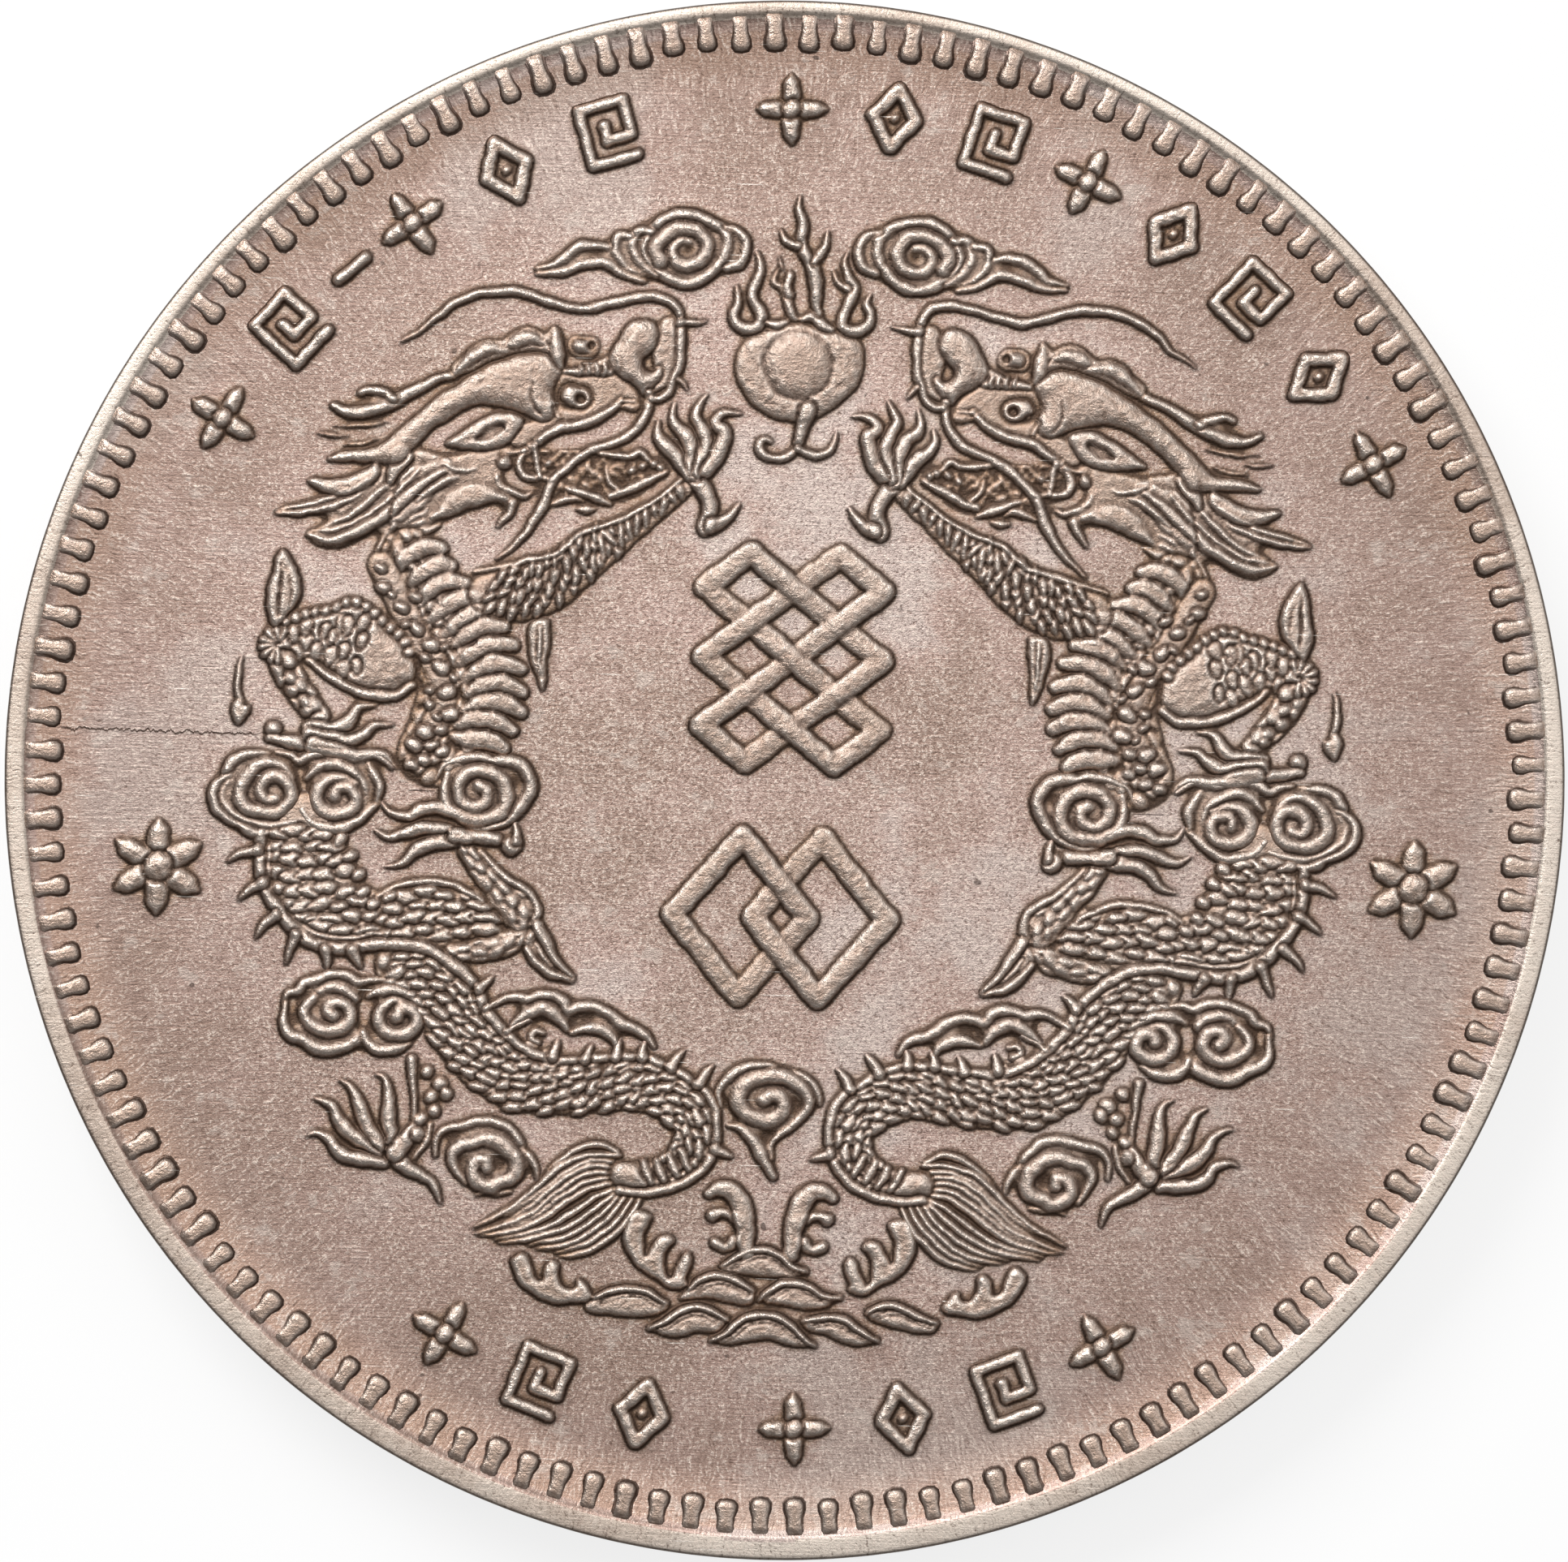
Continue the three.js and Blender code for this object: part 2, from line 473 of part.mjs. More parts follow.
const CLOUDS = {
  top_cloud: {
    outline: [
      [-1.5, 13.9], [-2.1, 14.42], [-3.24, 14.83], [-3.95, 14.4], [-4.9, 14.18], [-6.1, 13.78],
      [-7.05, 13.28], [-6.3, 13.05], [-5.2, 13.35], [-4.6, 13.2], [-3.9, 13.2], [-3.04, 12.83], [-2.3, 13.05],
    ],
    coils: [{ centre: [-3.05, 13.85], radii: [0.92, 0.12], turns: -1.6, start: 3.3 }],
    arcs: [[[-6.6, 13.2], [-5.6, 13.55], [-4.8, 13.65], [-4.1, 13.9]]],
  },
  middle_double_cloud: {
    outline: [
      [-15.06, -0.66], [-14.6, -1.5], [-13.5, -1.8], [-12.55, -1.45], [-11.6, -1.6], [-10.76, -1.1],
      [-10.5, -0.4], [-10.7, 0.2], [-11.94, 0.3], [-12.85, 0.15], [-13.6, 0.28], [-14.6, 0],
    ],
    coils: [
      { centre: [-13.43, -0.72], radii: [0.82, 0.12], turns: -1.5, start: 0.4 },
      { centre: [-11.72, -0.7], radii: [0.7, 0.12], turns: -1.5, start: 0.4 },
    ],
    arcs: [],
  },
  middle_cloud: {
    outline: [
      [-9.15, -0.35], [-8.9, 0.05], [-8, -0.05], [-7.2, 0.15], [-6.62, -0.3], [-6.7, -0.8], [-7.1, -1.12],
      [-8, -1.05], [-8.5, -0.85], [-9.1, -0.8],
    ],
    coils: [{ centre: [-7.95, -0.5], radii: [0.5, 0.1], turns: 1.3, start: 2.6 }],
    arcs: [],
  },
  low_cloud: {
    outline: [
      [-12.95, -6.5], [-12.6, -5.75], [-11.57, -5.5], [-10.8, -5.75], [-10.2, -5.8], [-9.75, -6.15],
      [-9.62, -6.9], [-10.1, -7.38], [-10.84, -7.25], [-11.7, -7.5], [-12.6, -7.2],
    ],
    coils: [
      { centre: [-11.65, -6.45], radii: [0.75, 0.12], turns: -1.5, start: 0.4 },
      { centre: [-10.2, -6.6], radii: [0.42, 0.1], turns: -1.2, start: 0.4 },
    ],
    arcs: [],
  },
  arched_cloud: {
    outline: [
      [-7.35, -5.8], [-7, -5.65], [-6.2, -5.68], [-5.4, -5.72], [-4.5, -5.95], [-3.8, -6.45], [-3.5, -6.68],
      [-4.4, -6.7], [-5.5, -6.75], [-6.1, -6.9], [-6.6, -6.35],
    ],
    coils: [],
    arcs: [[[-6.35, -6.65], [-5.9, -6.25], [-5.3, -6.15], [-4.7, -6.4]]],
  },
  small_cloud: {
    outline: [
      [-9, -10.05], [-8.6, -9.45], [-7.67, -9.2], [-6.85, -9.45], [-6.4, -9.95], [-6.75, -10.35],
      [-7.1, -10.95], [-7.9, -11], [-8.2, -10.65],
    ],
    coils: [{ centre: [-7.55, -10.15], radii: [0.66, 0.1], turns: -1.5, start: 0.2 }],
    arcs: [],
  },
};

function cloud({ outline, coils, arcs }) {
  const pieces = [smoothPlate(outline, LOW_RELIEF, outline.length + 5)];
  for (const { centre, radii, turns, start } of coils) {
    const steps = Math.round(Math.abs(turns) * 7);
    const route = wheelRoute(centre, radii, turns, start, steps);
    pieces.push(ridgeAlong(route, [0.14, 0.1], CLOUD_COIL_RELIEF));
  }
  pieces.push(...strands(arcs, [0.05, 0.14, 0.05], CLOUD_COIL_RELIEF));
  return union(pieces);
}

const BOTTOM_CLOUD = {
  outline: [
    [-1.05, -8.3], [-0.6, -7.6], [0, -7.4], [0.6, -7.6], [1.05, -8.3], [0.75, -9], [0.25, -9.5],
    [0.05, -10.3], [-0.25, -9.5], [-0.75, -9],
  ],
  coils: [{ centre: [0, -8.4], radii: [0.72, 0.1], turns: 1.6, start: -1.2 }],
  arcs: [],
};

// The flaming pearl: a disc with a smaller dome on it, a stem that curls both ways and six flames.

const PEARL_CENTRE = [0.05, 10.85];
const PEARL_RADII = [1.66, 1.38];
const FLAMES = [
  [[-1.1, 11.7], [-1.55, 11.9], [-1.65, 12.5], [-1.68, 12.94]],
  [[-0.9, 11.9], [-1.1, 12.53], [-1.15, 13.2], [-1.2, 13.89]],
  [[-0.2, 12.1], [-0.35, 12.7], [-0.63, 13.2], [-0.56, 13.89]],
  [[0.35, 12], [0.46, 12.8], [0, 14], [-0.08, 15.38]],
  [[0.3, 13.2], [0.6, 13.9], [0.63, 14.5]],
  [[0.1, 13.9], [-0.35, 14.05], [-0.56, 14.43]],
  [[1, 11.8], [1.3, 12.73], [1.14, 13.4], [1.21, 13.96]],
  [[1.2, 11.6], [1.75, 11.95], [1.75, 12.4], [1.86, 12.8]],
];
const PEARL_STEM = [[0.2, 9.6], [0.1, 9.1], [-0.05, 8.65], [-0.5, 8.45], [-0.85, 8.8]];
const PEARL_HOOK = [[0.05, 8.9], [0.5, 8.5], [0.95, 8.75], [1.11, 9.2]];

function flamingPearl() {
  const rim = new THREE.EllipseCurve(...PEARL_CENTRE, ...PEARL_RADII).getPoints(20).slice(0, -1);
  return union([
    plate(rim, LOW_RELIEF),
    dome([0, 10.93], 0.9, HEAD_RELIEF, 12),
    ...strands(FLAMES, [0.2, 0.16, 0.03], LIMB_RELIEF),
    ridge(PEARL_STEM, [0.22, 0.16, 0.04], LIMB_RELIEF, 5),
    ridge(PEARL_HOOK, [0.18, 0.14, 0.04], LIMB_RELIEF, 4),
  ]);
}

// Sea: breaking crests over hills, with a curling arm of spray on each side.

const HILLS = [
  [[-1.5, -13], [-0.2, -12.24], [1.2, -13]],
  [[-2.3, -13.7], [-1.07, -13.05], [0, -13.75]],
  [[-0.3, -13.75], [0.8, -13.1], [2.2, -13.75]],
  [[-4.67, -13.85], [-3.72, -13.38], [-2.3, -13.95]],
  [[-3.15, -14.52], [-1.9, -13.85], [-0.8, -14.5]],
  [[-1.45, -14.7], [-0.12, -13.9], [1.3, -14.75]],
  [[0.7, -14.5], [1.87, -13.95], [3, -14.61]],
  [[2.3, -14.1], [3.5, -13.52], [4.7, -14]],
];
const BREAKERS = [
  [[-6.7, -12.77], [-6.4, -13.5], [-5.7, -13.85], [-4.7, -13.75], [-3.6, -13.6]],
  [[-5.4, -13.7], [-5.45, -13.1], [-5.75, -12.86]],
  [[-3.34, -11.44], [-3.62, -12.2], [-3.3, -13], [-2.4, -13.3], [-1.9, -12.75], [-2.3, -12.4]],
  [[-2.6, -13.2], [-3, -12.6], [-2.55, -12.1]],
];
const SPRAY_ARM = [[-1.75, -10.8], [-1.2, -10.72], [-0.78, -11.1], [-0.6, -11.6], [-0.75, -12]];
const SPRAY_CURL = [[-0.75, -11.6], [-1.2, -11.5], [-1.55, -11.6]];
const SEA_BED = [
  [-5.6, -13.9], [-4.2, -13.6], [-2.6, -13.2], [-1.2, -12.9], [0, -12.5], [1.2, -12.9], [2.6, -13.2],
  [4.2, -13.6], [5.6, -13.9], [3.5, -14.3], [1.8, -14.35], [0, -14.7], [-1.8, -14.35], [-3.5, -14.3],
];

function breaker(points, sign) {
  const route = points.map(([x, y]) => [sign * x, y]);
  return ridge(route, [0.08, 0.24, 0.2, 0.08], LIMB_RELIEF, points.length - 1);
}

function sea() {
  const breakers = [-1, 1].flatMap((sign) => BREAKERS.map((points) => breaker(points, -sign)));
  const hills = HILLS.map((points) => ridge(points, [0.1, 0.28, 0.1], LIMB_RELIEF, 2));
  return union([smoothPlate(SEA_BED, LOW_RELIEF, 12), ...hills, ...breakers]);
}

function sprayArm() {
  return union([
    ridge(SPRAY_ARM, [0.14, 0.28, 0.26, 0.06], LIMB_RELIEF, 5),
    ridge(SPRAY_CURL, [0.2, 0.12, 0.08], LIMB_RELIEF, 2),
  ]);
}

function sparkFlame() {
  return union([
    ridge([[-14.4, 2.8], [-14.5, 2.2], [-14.3, 1.6]], [0.05, 0.14, 0.14], STRAND_RELIEF, 4),
    dome([-14.42, 1.35], 0.3, STRAND_RELIEF, 7),
  ]);
}

const LEAF_FIN = [[-6.55, 3.95], [-6.3, 3.7], [-6.3, 2.9], [-6.41, 2.16], [-6.7, 2.7], [-6.8, 3.3]];

function leafFin() {
  return smoothPlate(LEAF_FIN, STRAND_RELIEF, 10, 0.05);
}

// Ornaments: a plaited knot and joined lozenges in the middle, and small charges round the border.

const triangleWave = (t) => 2 * Math.abs((((t % 1) + 1) % 1) * 2 - 1) - 1;

// Corners of a strand that crosses a panel on the diagonal and turns back at each edge.
function plaitCorners(centre, halfSize, across, along) {
  const turns = new Set();
  for (let i = 0; i < 2 * across; i += 1) turns.add(i / (2 * across));
  for (let i = 0; i < 2 * along; i += 1) turns.add(((i + 0.5) / (2 * along)) % 1);
  return [...turns].sort((a, b) => a - b).map((t) => [
    centre[0] + halfSize[0] * triangleWave(across * t),
    centre[1] + halfSize[1] * triangleWave(along * t + 0.25),
  ]);
}

function closedBars(corners, halfWidth, height) {
  return corners.map((corner, i) => {
    const next = corners[(i + 1) % corners.length];
    const length = Math.hypot(next[0] - corner[0], next[1] - corner[1]);
    const reach = (0.6 * halfWidth) / length;
    const beyond = (from, to) => [to[0] + (to[0] - from[0]) * reach, to[1] + (to[1] - from[1]) * reach];
    return bar(beyond(next, corner), beyond(corner, next), halfWidth, height);
  });
}

function centreKnot() {
  return union(closedBars(plaitCorners([0.1, 3.2], [2.35, 2.75], 3, 2), 0.3, ORNAMENT_RELIEF));
}

function lozenge(centre, halfWidth, halfHeight) {
  return [[halfWidth, 0], [0, halfHeight], [-halfWidth, 0], [0, -halfHeight]].map(([x, y]) => [
    centre[0] + x,
    centre[1] + y,
  ]);
}

function centreLozenges() {
  const frames = [-1.05, 1.05].map((x) =>
    frame(lozenge([x, -3.6], 2.1, 2.5), lozenge([x, -3.6], 1.35, 1.6), ORNAMENT_RELIEF),
  );
  return union(frames);
}

// The outline of a flower whose petals swell from their valleys and come to a point.
function flowerOutline(count, reach, valley) {
  const outline = [];
  const corners = [[valley, 0], [0.5 * (valley + reach), 0.28], [reach, 0.5], [0.5 * (valley + reach), 0.72]];
  for (let petal = 0; petal < count; petal += 1) {
    for (const [radius, part] of corners) {
      const angle = (TAU * (petal + part - 0.5)) / count + TAU / 4;
      outline.push(new THREE.Vector2(radius * Math.cos(angle), radius * Math.sin(angle)));
    }
  }
  return outline;
}

function flower(count, reach, valley, hub, field = DRAGON_FIELD, up = 1) {
  const body = plate(flowerOutline(count, reach, valley), LOW_RELIEF, 0, up > 0 ? field : field - LOW_RELIEF);
  return body.add(dome([0, 0], hub, up * ORNAMENT_RELIEF, 8, field));
}

function smallLozenge() {
  return frame(lozenge([0, 0], 0.75, 1), lozenge([0, 0], 0.38, 0.52), ORNAMENT_RELIEF);
}

function fret() {
  const corners = [
    [0.6, -0.75], [-0.6, -0.75], [-0.6, 0.75], [0.6, 0.75], [0.6, -0.2], [-0.05, -0.2], [-0.05, 0.25],
  ];
  return plate(band(corners, 0.13), ORNAMENT_RELIEF);
}

function dash() {
  return bar([-0.5, 0], [0.5, 0], 0.16, ORNAMENT_RELIEF);
}

// The back: a beaded circle and, inside it, four ruyi heads round a rosette.

const BEAD_COUNT = 32;
const BEAD_CIRCLE_RADIUS = 13;
const RUYI_PLACE = 7.5;

function beadCircle() {
  const inner = [];
  const crest = [];
  const outer = [];
  for (let i = 0; i < 2 * BEAD_COUNT; i += 1) {
    const angle = (TAU * i) / (2 * BEAD_COUNT);
    const bead = i % 2 === 0 ? 0.38 : 0.16;
    const rise = i % 2 === 0 ? ORNAMENT_RELIEF : 0.08;
    const place = (radius, z) => new THREE.Vector3(radius * Math.cos(angle), radius * Math.sin(angle), z);
    inner.push(place(BEAD_CIRCLE_RADIUS - bead, BACK_FIELD));
    crest.push(place(BEAD_CIRCLE_RADIUS, BACK_FIELD - rise));
    outer.push(place(BEAD_CIRCLE_RADIUS + bead, BACK_FIELD));
  }
  return shell([inner, crest, outer], true);
}

function ruyiHead() {
  const lobe = [[0, 1.2], [0.75, 2.1], [1.9, 1.6], [1.9, 0.4], [1, 0.2], [0.9, 0.9]];
  const stem = [[0, 1.2], [0, -0.4], [0, -1.7]];
  const routes = [lobe, lobe.map(([x, y]) => [-x, y]), stem];
  return union(routes.map((points) => {
    const route = sampled(points, points.length);
    return ridgeAlong(route, [0.3, 0.34, 0.3, 0.12], -ORNAMENT_RELIEF, SHARP_SECTION, BACK_FIELD);
  }));
}

// The coin: every node is named, and placed by its own position and turn.

const coin = new THREE.Group();

function geometryOf(body, isMirrored = false) {
  const { vertProperties, triVerts } = body.simplify(UNION_TOLERANCE).getMesh();
  const positions = new Float32Array(vertProperties);
  const triangles = Array.from(triVerts);
  if (isMirrored) {
    for (let i = 0; i < positions.length; i += 3) positions[i] = -positions[i];
    triangles.reverse();
  }
  const geometry = new THREE.BufferGeometry();
  geometry.setAttribute("position", new THREE.BufferAttribute(positions, 3));
  geometry.setIndex(triangles);
  geometry.computeVertexNormals();
  return geometry;
}

function place(name, geometry, material = toned) {
  const mesh = new THREE.Mesh(geometry, material);
  mesh.name = name;
  coin.add(mesh);
  return mesh;
}

function placePair(name, body) {
  place(`left_${name}`, geometryOf(body));
  place(`right_${name}`, geometryOf(body, true));
}

place("planchet", geometryOf(planchet()), rubbed);
place("dragon_side_denticles", geometryOf(denticles(DRAGON_FIELD, 1, STRIKE_SHIFT)));
place("back_denticles", geometryOf(denticles(BACK_FIELD, -1, 0)));

placePair("dragon_forequarters", dragonForequarters());
placePair("dragon_hindquarters", dragonHindquarters());
for (const [name, form] of Object.entries(CLOUDS)) placePair(name, cloud(form));
place("bottom_cloud", geometryOf(cloud(BOTTOM_CLOUD)));
place("flaming_pearl", geometryOf(flamingPearl()));
place("sea_waves", geometryOf(sea()));
placePair("spray_arm", sprayArm());
placePair("spark_flame", sparkFlame());
placePair("leaf_fin", leafFin());

place("centre_knot", geometryOf(centreKnot()));
place("centre_lozenges", geometryOf(centreLozenges()));

const rosette = geometryOf(flower(6, 1.3, 0.7, 0.5));
place("left_rosette", rosette).position.set(-16.4, -2.8, 0);
place("right_rosette", rosette).position.set(16.6, -2.3, 0);

// Border charges: angle in degrees from +X, and each stands upright on the radius.
const LEGEND_CENTRE = STRIKE_SHIFT;
const CHARGES = {
  floret: geometryOf(plate(flowerOutline(4, 0.95, 0.3), ORNAMENT_RELIEF)),
  lozenge: geometryOf(smallLozenge()),
  fret: geometryOf(fret()),
  dash: geometryOf(dash()),
};
const UPPER_CHARGES = [
  [149.5, "floret"], [139.8, "fret"], [132.4, "dash"], [125.9, "floret"], [116.6, "lozenge"], [107.3, "fret"],
  [91.3, "floret"], [82.4, "lozenge"], [73.6, "fret"], [64.8, "floret"], [56.2, "lozenge"], [47.6, "fret"],
  [38.6, "lozenge"], [29.7, "floret"],
];
const LOWER_CHARGES = [
  [240.6, "floret"], [249.8, "fret"], [259.3, "lozenge"], [272.7, "floret"], [282.3, "lozenge"],
  [291.7, "fret"], [300.9, "floret"],
];
const UPPER_RADIUS = 17.5;
const LOWER_RADIUS = 17.2;

function placeCharges(name, charges, radius, topIsOutward) {
  charges.forEach(([degrees, kind], i) => {
    const angle = THREE.MathUtils.degToRad(degrees);
    const mesh = place(`${name}_${String(i + 1).padStart(2, "0")}`, CHARGES[kind]);
    mesh.position.set(radius * Math.cos(angle), radius * Math.sin(angle) + LEGEND_CENTRE, 0);
    mesh.rotation.z = angle + (topIsOutward ? -TAU / 4 : TAU / 4);
  });
}

placeCharges("upper_ornament", UPPER_CHARGES, UPPER_RADIUS, true);
placeCharges("lower_ornament", LOWER_CHARGES, LOWER_RADIUS, false);

place("back_bead_circle", geometryOf(beadCircle()));
place("back_rosette", geometryOf(flower(8, 3.2, 1.9, 1.1, BACK_FIELD, -1)));
const ruyi = geometryOf(ruyiHead());
for (let i = 0; i < 4; i += 1) {
  const angle = (TAU * i) / 4;
  const mesh = place(`back_ruyi_head_${i + 1}`, ruyi);
  mesh.position.set(-RUYI_PLACE * Math.sin(angle), RUYI_PLACE * Math.cos(angle), 0);
  mesh.rotation.z = angle;
}

export default coin;
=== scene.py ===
"""A struck silver tael coin with two facing dragons, lying face up and seen from straight above."""

import math

import bpy
import numpy as np
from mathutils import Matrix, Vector
from mathutils.geometry import delaunay_2d_cdt


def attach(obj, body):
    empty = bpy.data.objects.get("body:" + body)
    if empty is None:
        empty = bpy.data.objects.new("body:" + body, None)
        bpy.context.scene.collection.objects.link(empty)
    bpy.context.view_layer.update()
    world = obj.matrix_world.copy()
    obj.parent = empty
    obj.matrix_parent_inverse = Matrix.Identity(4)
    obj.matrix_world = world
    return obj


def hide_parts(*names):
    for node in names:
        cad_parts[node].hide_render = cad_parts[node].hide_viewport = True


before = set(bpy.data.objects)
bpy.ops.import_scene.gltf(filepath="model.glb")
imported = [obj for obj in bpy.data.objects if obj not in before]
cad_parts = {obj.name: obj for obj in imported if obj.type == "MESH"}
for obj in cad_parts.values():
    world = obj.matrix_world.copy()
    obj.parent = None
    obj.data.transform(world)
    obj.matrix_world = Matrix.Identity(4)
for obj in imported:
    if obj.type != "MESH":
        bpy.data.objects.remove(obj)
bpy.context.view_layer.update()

# One millimetre in metres; all other sizes of the coin are in millimetres
MM = 0.001
COIN_THICKNESS = 3.21875
FIELD_DEPTH = 0.25
DRAGON_FIELD = COIN_THICKNESS - FIELD_DEPTH
BACK_FIELD = FIELD_DEPTH
EDGE_COUNT = 136
REED_DEPTH = 0.12
REED_START = 20.49
STEPS_ROUND = EDGE_COUNT * 6
RIM_INNER = 19.95
DISH_START = 18.2
STRIKE_SHIFT = 0.15
ORNAMENT_TOP = 0.15
WEAVE_OVER = 0.185
WEAVE_UNDER = 0.08

# How finely the relief is cut, in millimetres
GRID = 0.036
BRUSH_STEP = 0.025
MOAT = 0.07
MARGIN = 0.6
WAVER = 0.013
TOP_KNEE = 0.17
SHEET_LIFT = 0.004
SHEET_EDGE = -0.012
SHEET_BOTTOM = -0.03

# The photograph's frame
IMAGE_WIDTH = 1932
PIXELS_PER_MM = 46.93
COIN_LEAN = math.radians(1.9)
OFF_CENTRE = (0.7, 0.8)
LENS = 180
SENSOR = 36

# The light, in metres and watts, and the floor
LAMP_PLACE = (-0.12, 0.17, 0.23)
LAMP_SIZE = 0.16
LAMP_POWER = 0.74
ROOM_BRIGHT_SIDE = (0.26, 0.38, 0.89)
ROOM_SPREAD = (0.6, 1.04)
ROOM_DIM = 0.16
ROOM_BRIGHT = 1.5
FLOOR_HALF = 1.5
FLOOR_GLOW = 0.8

# The crack and the fine bump of the surface
CRACK_HEIGHT = 0.62
CRACK_HALF = 0.03
BUMP_DEPTH = 0.000035


# Node trees, camera, lights and floor


def add_object(name, data):
    """A new object in the scene."""
    made = bpy.data.objects.new(name, data)
    bpy.context.scene.collection.objects.link(made)
    return made


class Tree:
    """Builds a node tree with short calls."""

    def __init__(self, tree):
        self.tree = tree

    def node(self, kind, links=(), **settings):
        """One node, with its inputs set or linked by name or number."""
        made = self.tree.nodes.new(kind if "Node" in kind else "ShaderNode" + kind)
        for key, value in settings.items():
            setattr(made, key, value)
        for socket, value in dict(links).items():
            self.put(made.inputs[socket], value)
        return made

    def put(self, socket, value):
        """Links a node's output to a socket, or sets the socket's value."""
        if isinstance(value, bpy.types.NodeSocket):
            self.tree.links.new(value, socket)
        elif isinstance(value, bpy.types.Node):
            self.tree.links.new(value.outputs[0], socket)
        else:
            socket.default_value = value

    def maths(self, operation, first, second=0.0):
        """One sum of one or two values."""
        return self.node("Math", {0: first, 1: second}, operation=operation).outputs[0]

    def times(self, first, second):
        """The product of two values."""
        return self.maths("MULTIPLY", first, second)

    def plus(self, first, second):
        """The sum of two values."""
        return self.maths("ADD", first, second)

    def minus(self, first, second):
        """The difference of two values."""
        return self.maths("SUBTRACT", first, second)

    def spread(self, value, low, high, start=0.0, end=1.0):
        """Maps low..high to start..end smoothly, and holds it outside."""
        links = {"Value": value, "From Min": low, "From Max": high, "To Min": start, "To Max": end}
        return self.node("MapRange", links, interpolation_type="SMOOTHSTEP").outputs[0]


class Paint(Tree):
    """A material and the nodes that lead to its surface."""

    def __init__(self, name):
        self.material = bpy.data.materials.new(name)
        self.material.use_nodes = True
        super().__init__(self.material.node_tree)
        self.surface = self.tree.nodes["Principled BSDF"]
        self.colour = None

    def finish(self, **inputs):
        """Sets or links the surface's inputs, and returns the material."""
        for label, value in inputs.items():
            self.put(self.surface.inputs[label.replace("_", " ")], value)
        return self.material

    def noise(self, place, scale, detail, roughness):
        """Soft noise around one half."""
        links = {"Vector": place, "Scale": scale, "Detail": detail, "Roughness": roughness}
        return self.node("TexNoise", links).outputs["Fac"]

    def shade(self, name, share):
        """A part of a value that the mesh holds at each vertex."""
        return self.times(self.node("Attribute", attribute_name=name).outputs["Fac"], share)

    def cover(self, share, colour):
        """Lays a share of another colour over the colour so far."""
        made = self.node("Mix", data_type="RGBA")
        for label, value in (("Factor", share), ("A", self.colour), ("B", colour)):
            self.put(made.inputs[label], value)
        self.colour = made.outputs["Result"]

    def start(self, value, stops, shades):
        """Begins the colour with a ramp of shades over a value."""
        made = self.node("ValToRGB", {"Fac": value})
        steps = made.color_ramp.elements
        while len(steps) < len(stops):
            steps.new(0.5)
        for step, place, shade in zip(steps, stops, shades):
            step.position = place
            step.color = shade
        self.colour = made.outputs["Color"]

    def crack(self, x, y):
        """A fine jagged crack that runs inwards from the left rim."""
        links = {"W": x, "Scale": 3.6, "Detail": 3.0, "Roughness": 0.7}
        wander = self.node("TexNoise", links, noise_dimensions="1D").outputs["Fac"]
        gap = self.maths("ABSOLUTE", self.minus(y, self.plus(CRACK_HEIGHT, self.times(wander, 0.26))))
        ends = self.times(self.spread(x, -19.2, -18.9), self.spread(x, -13.6, -14.1))
        return self.times(self.spread(gap, CRACK_HALF, 0.012, 0.0, 0.85), ends)

    def turned(self, place, angle, stretch):
        """A place turned about Z and stretched, for grain that runs one way."""
        return self.node("Mapping", {"Vector": place, "Rotation": (0, 0, angle), "Scale": stretch}).outputs[0]


def set_camera():
    """Looks straight down on the dragon side, with the coin leaning as it does in the photograph."""
    data = bpy.data.cameras.new("camera")
    data.lens = LENS
    data.sensor_width = SENSOR
    data.clip_end = 10
    camera = add_object("camera", data)
    seen_width = IMAGE_WIDTH / PIXELS_PER_MM
    height = COIN_THICKNESS + seen_width * LENS / SENSOR
    right, up = OFF_CENTRE[0] / PIXELS_PER_MM, OFF_CENTRE[1] / PIXELS_PER_MM
    camera.location = (-right * MM, -up * MM, height * MM)
    camera.rotation_euler = (0, 0, COIN_LEAN)
    bpy.context.scene.camera = camera


def set_lamp():
    """One soft square lamp that points at the coin, like a window at the upper left."""
    data = bpy.data.lights.new("window", "AREA")
    data.size = LAMP_SIZE
    data.energy = LAMP_POWER
    lamp = add_object("window", data)
    lamp.location = LAMP_PLACE
    lamp.rotation_euler = (-lamp.location).to_track_quat("-Z", "Y").to_euler()


def set_world():
    """A plain room: the side above the coin is pale and bright, the far side is dimmer."""
    world = bpy.data.worlds.new("room")
    bpy.context.scene.world = world
    world.use_nodes = True
    world.node_tree.nodes.clear()
    room = Tree(world.node_tree)
    along = room.node("TexCoord").outputs["Generated"]
    towards = Vector(ROOM_BRIGHT_SIDE).normalized()
    facing = room.node("VectorMath", {0: along, 1: towards}, operation="DOT_PRODUCT").outputs["Value"]
    level = room.spread(facing, *ROOM_SPREAD, ROOM_DIM, ROOM_BRIGHT)
    room.node("OutputWorld", {"Surface": room.node("Background", {"Color": (1, 1, 1, 1), "Strength": level})})


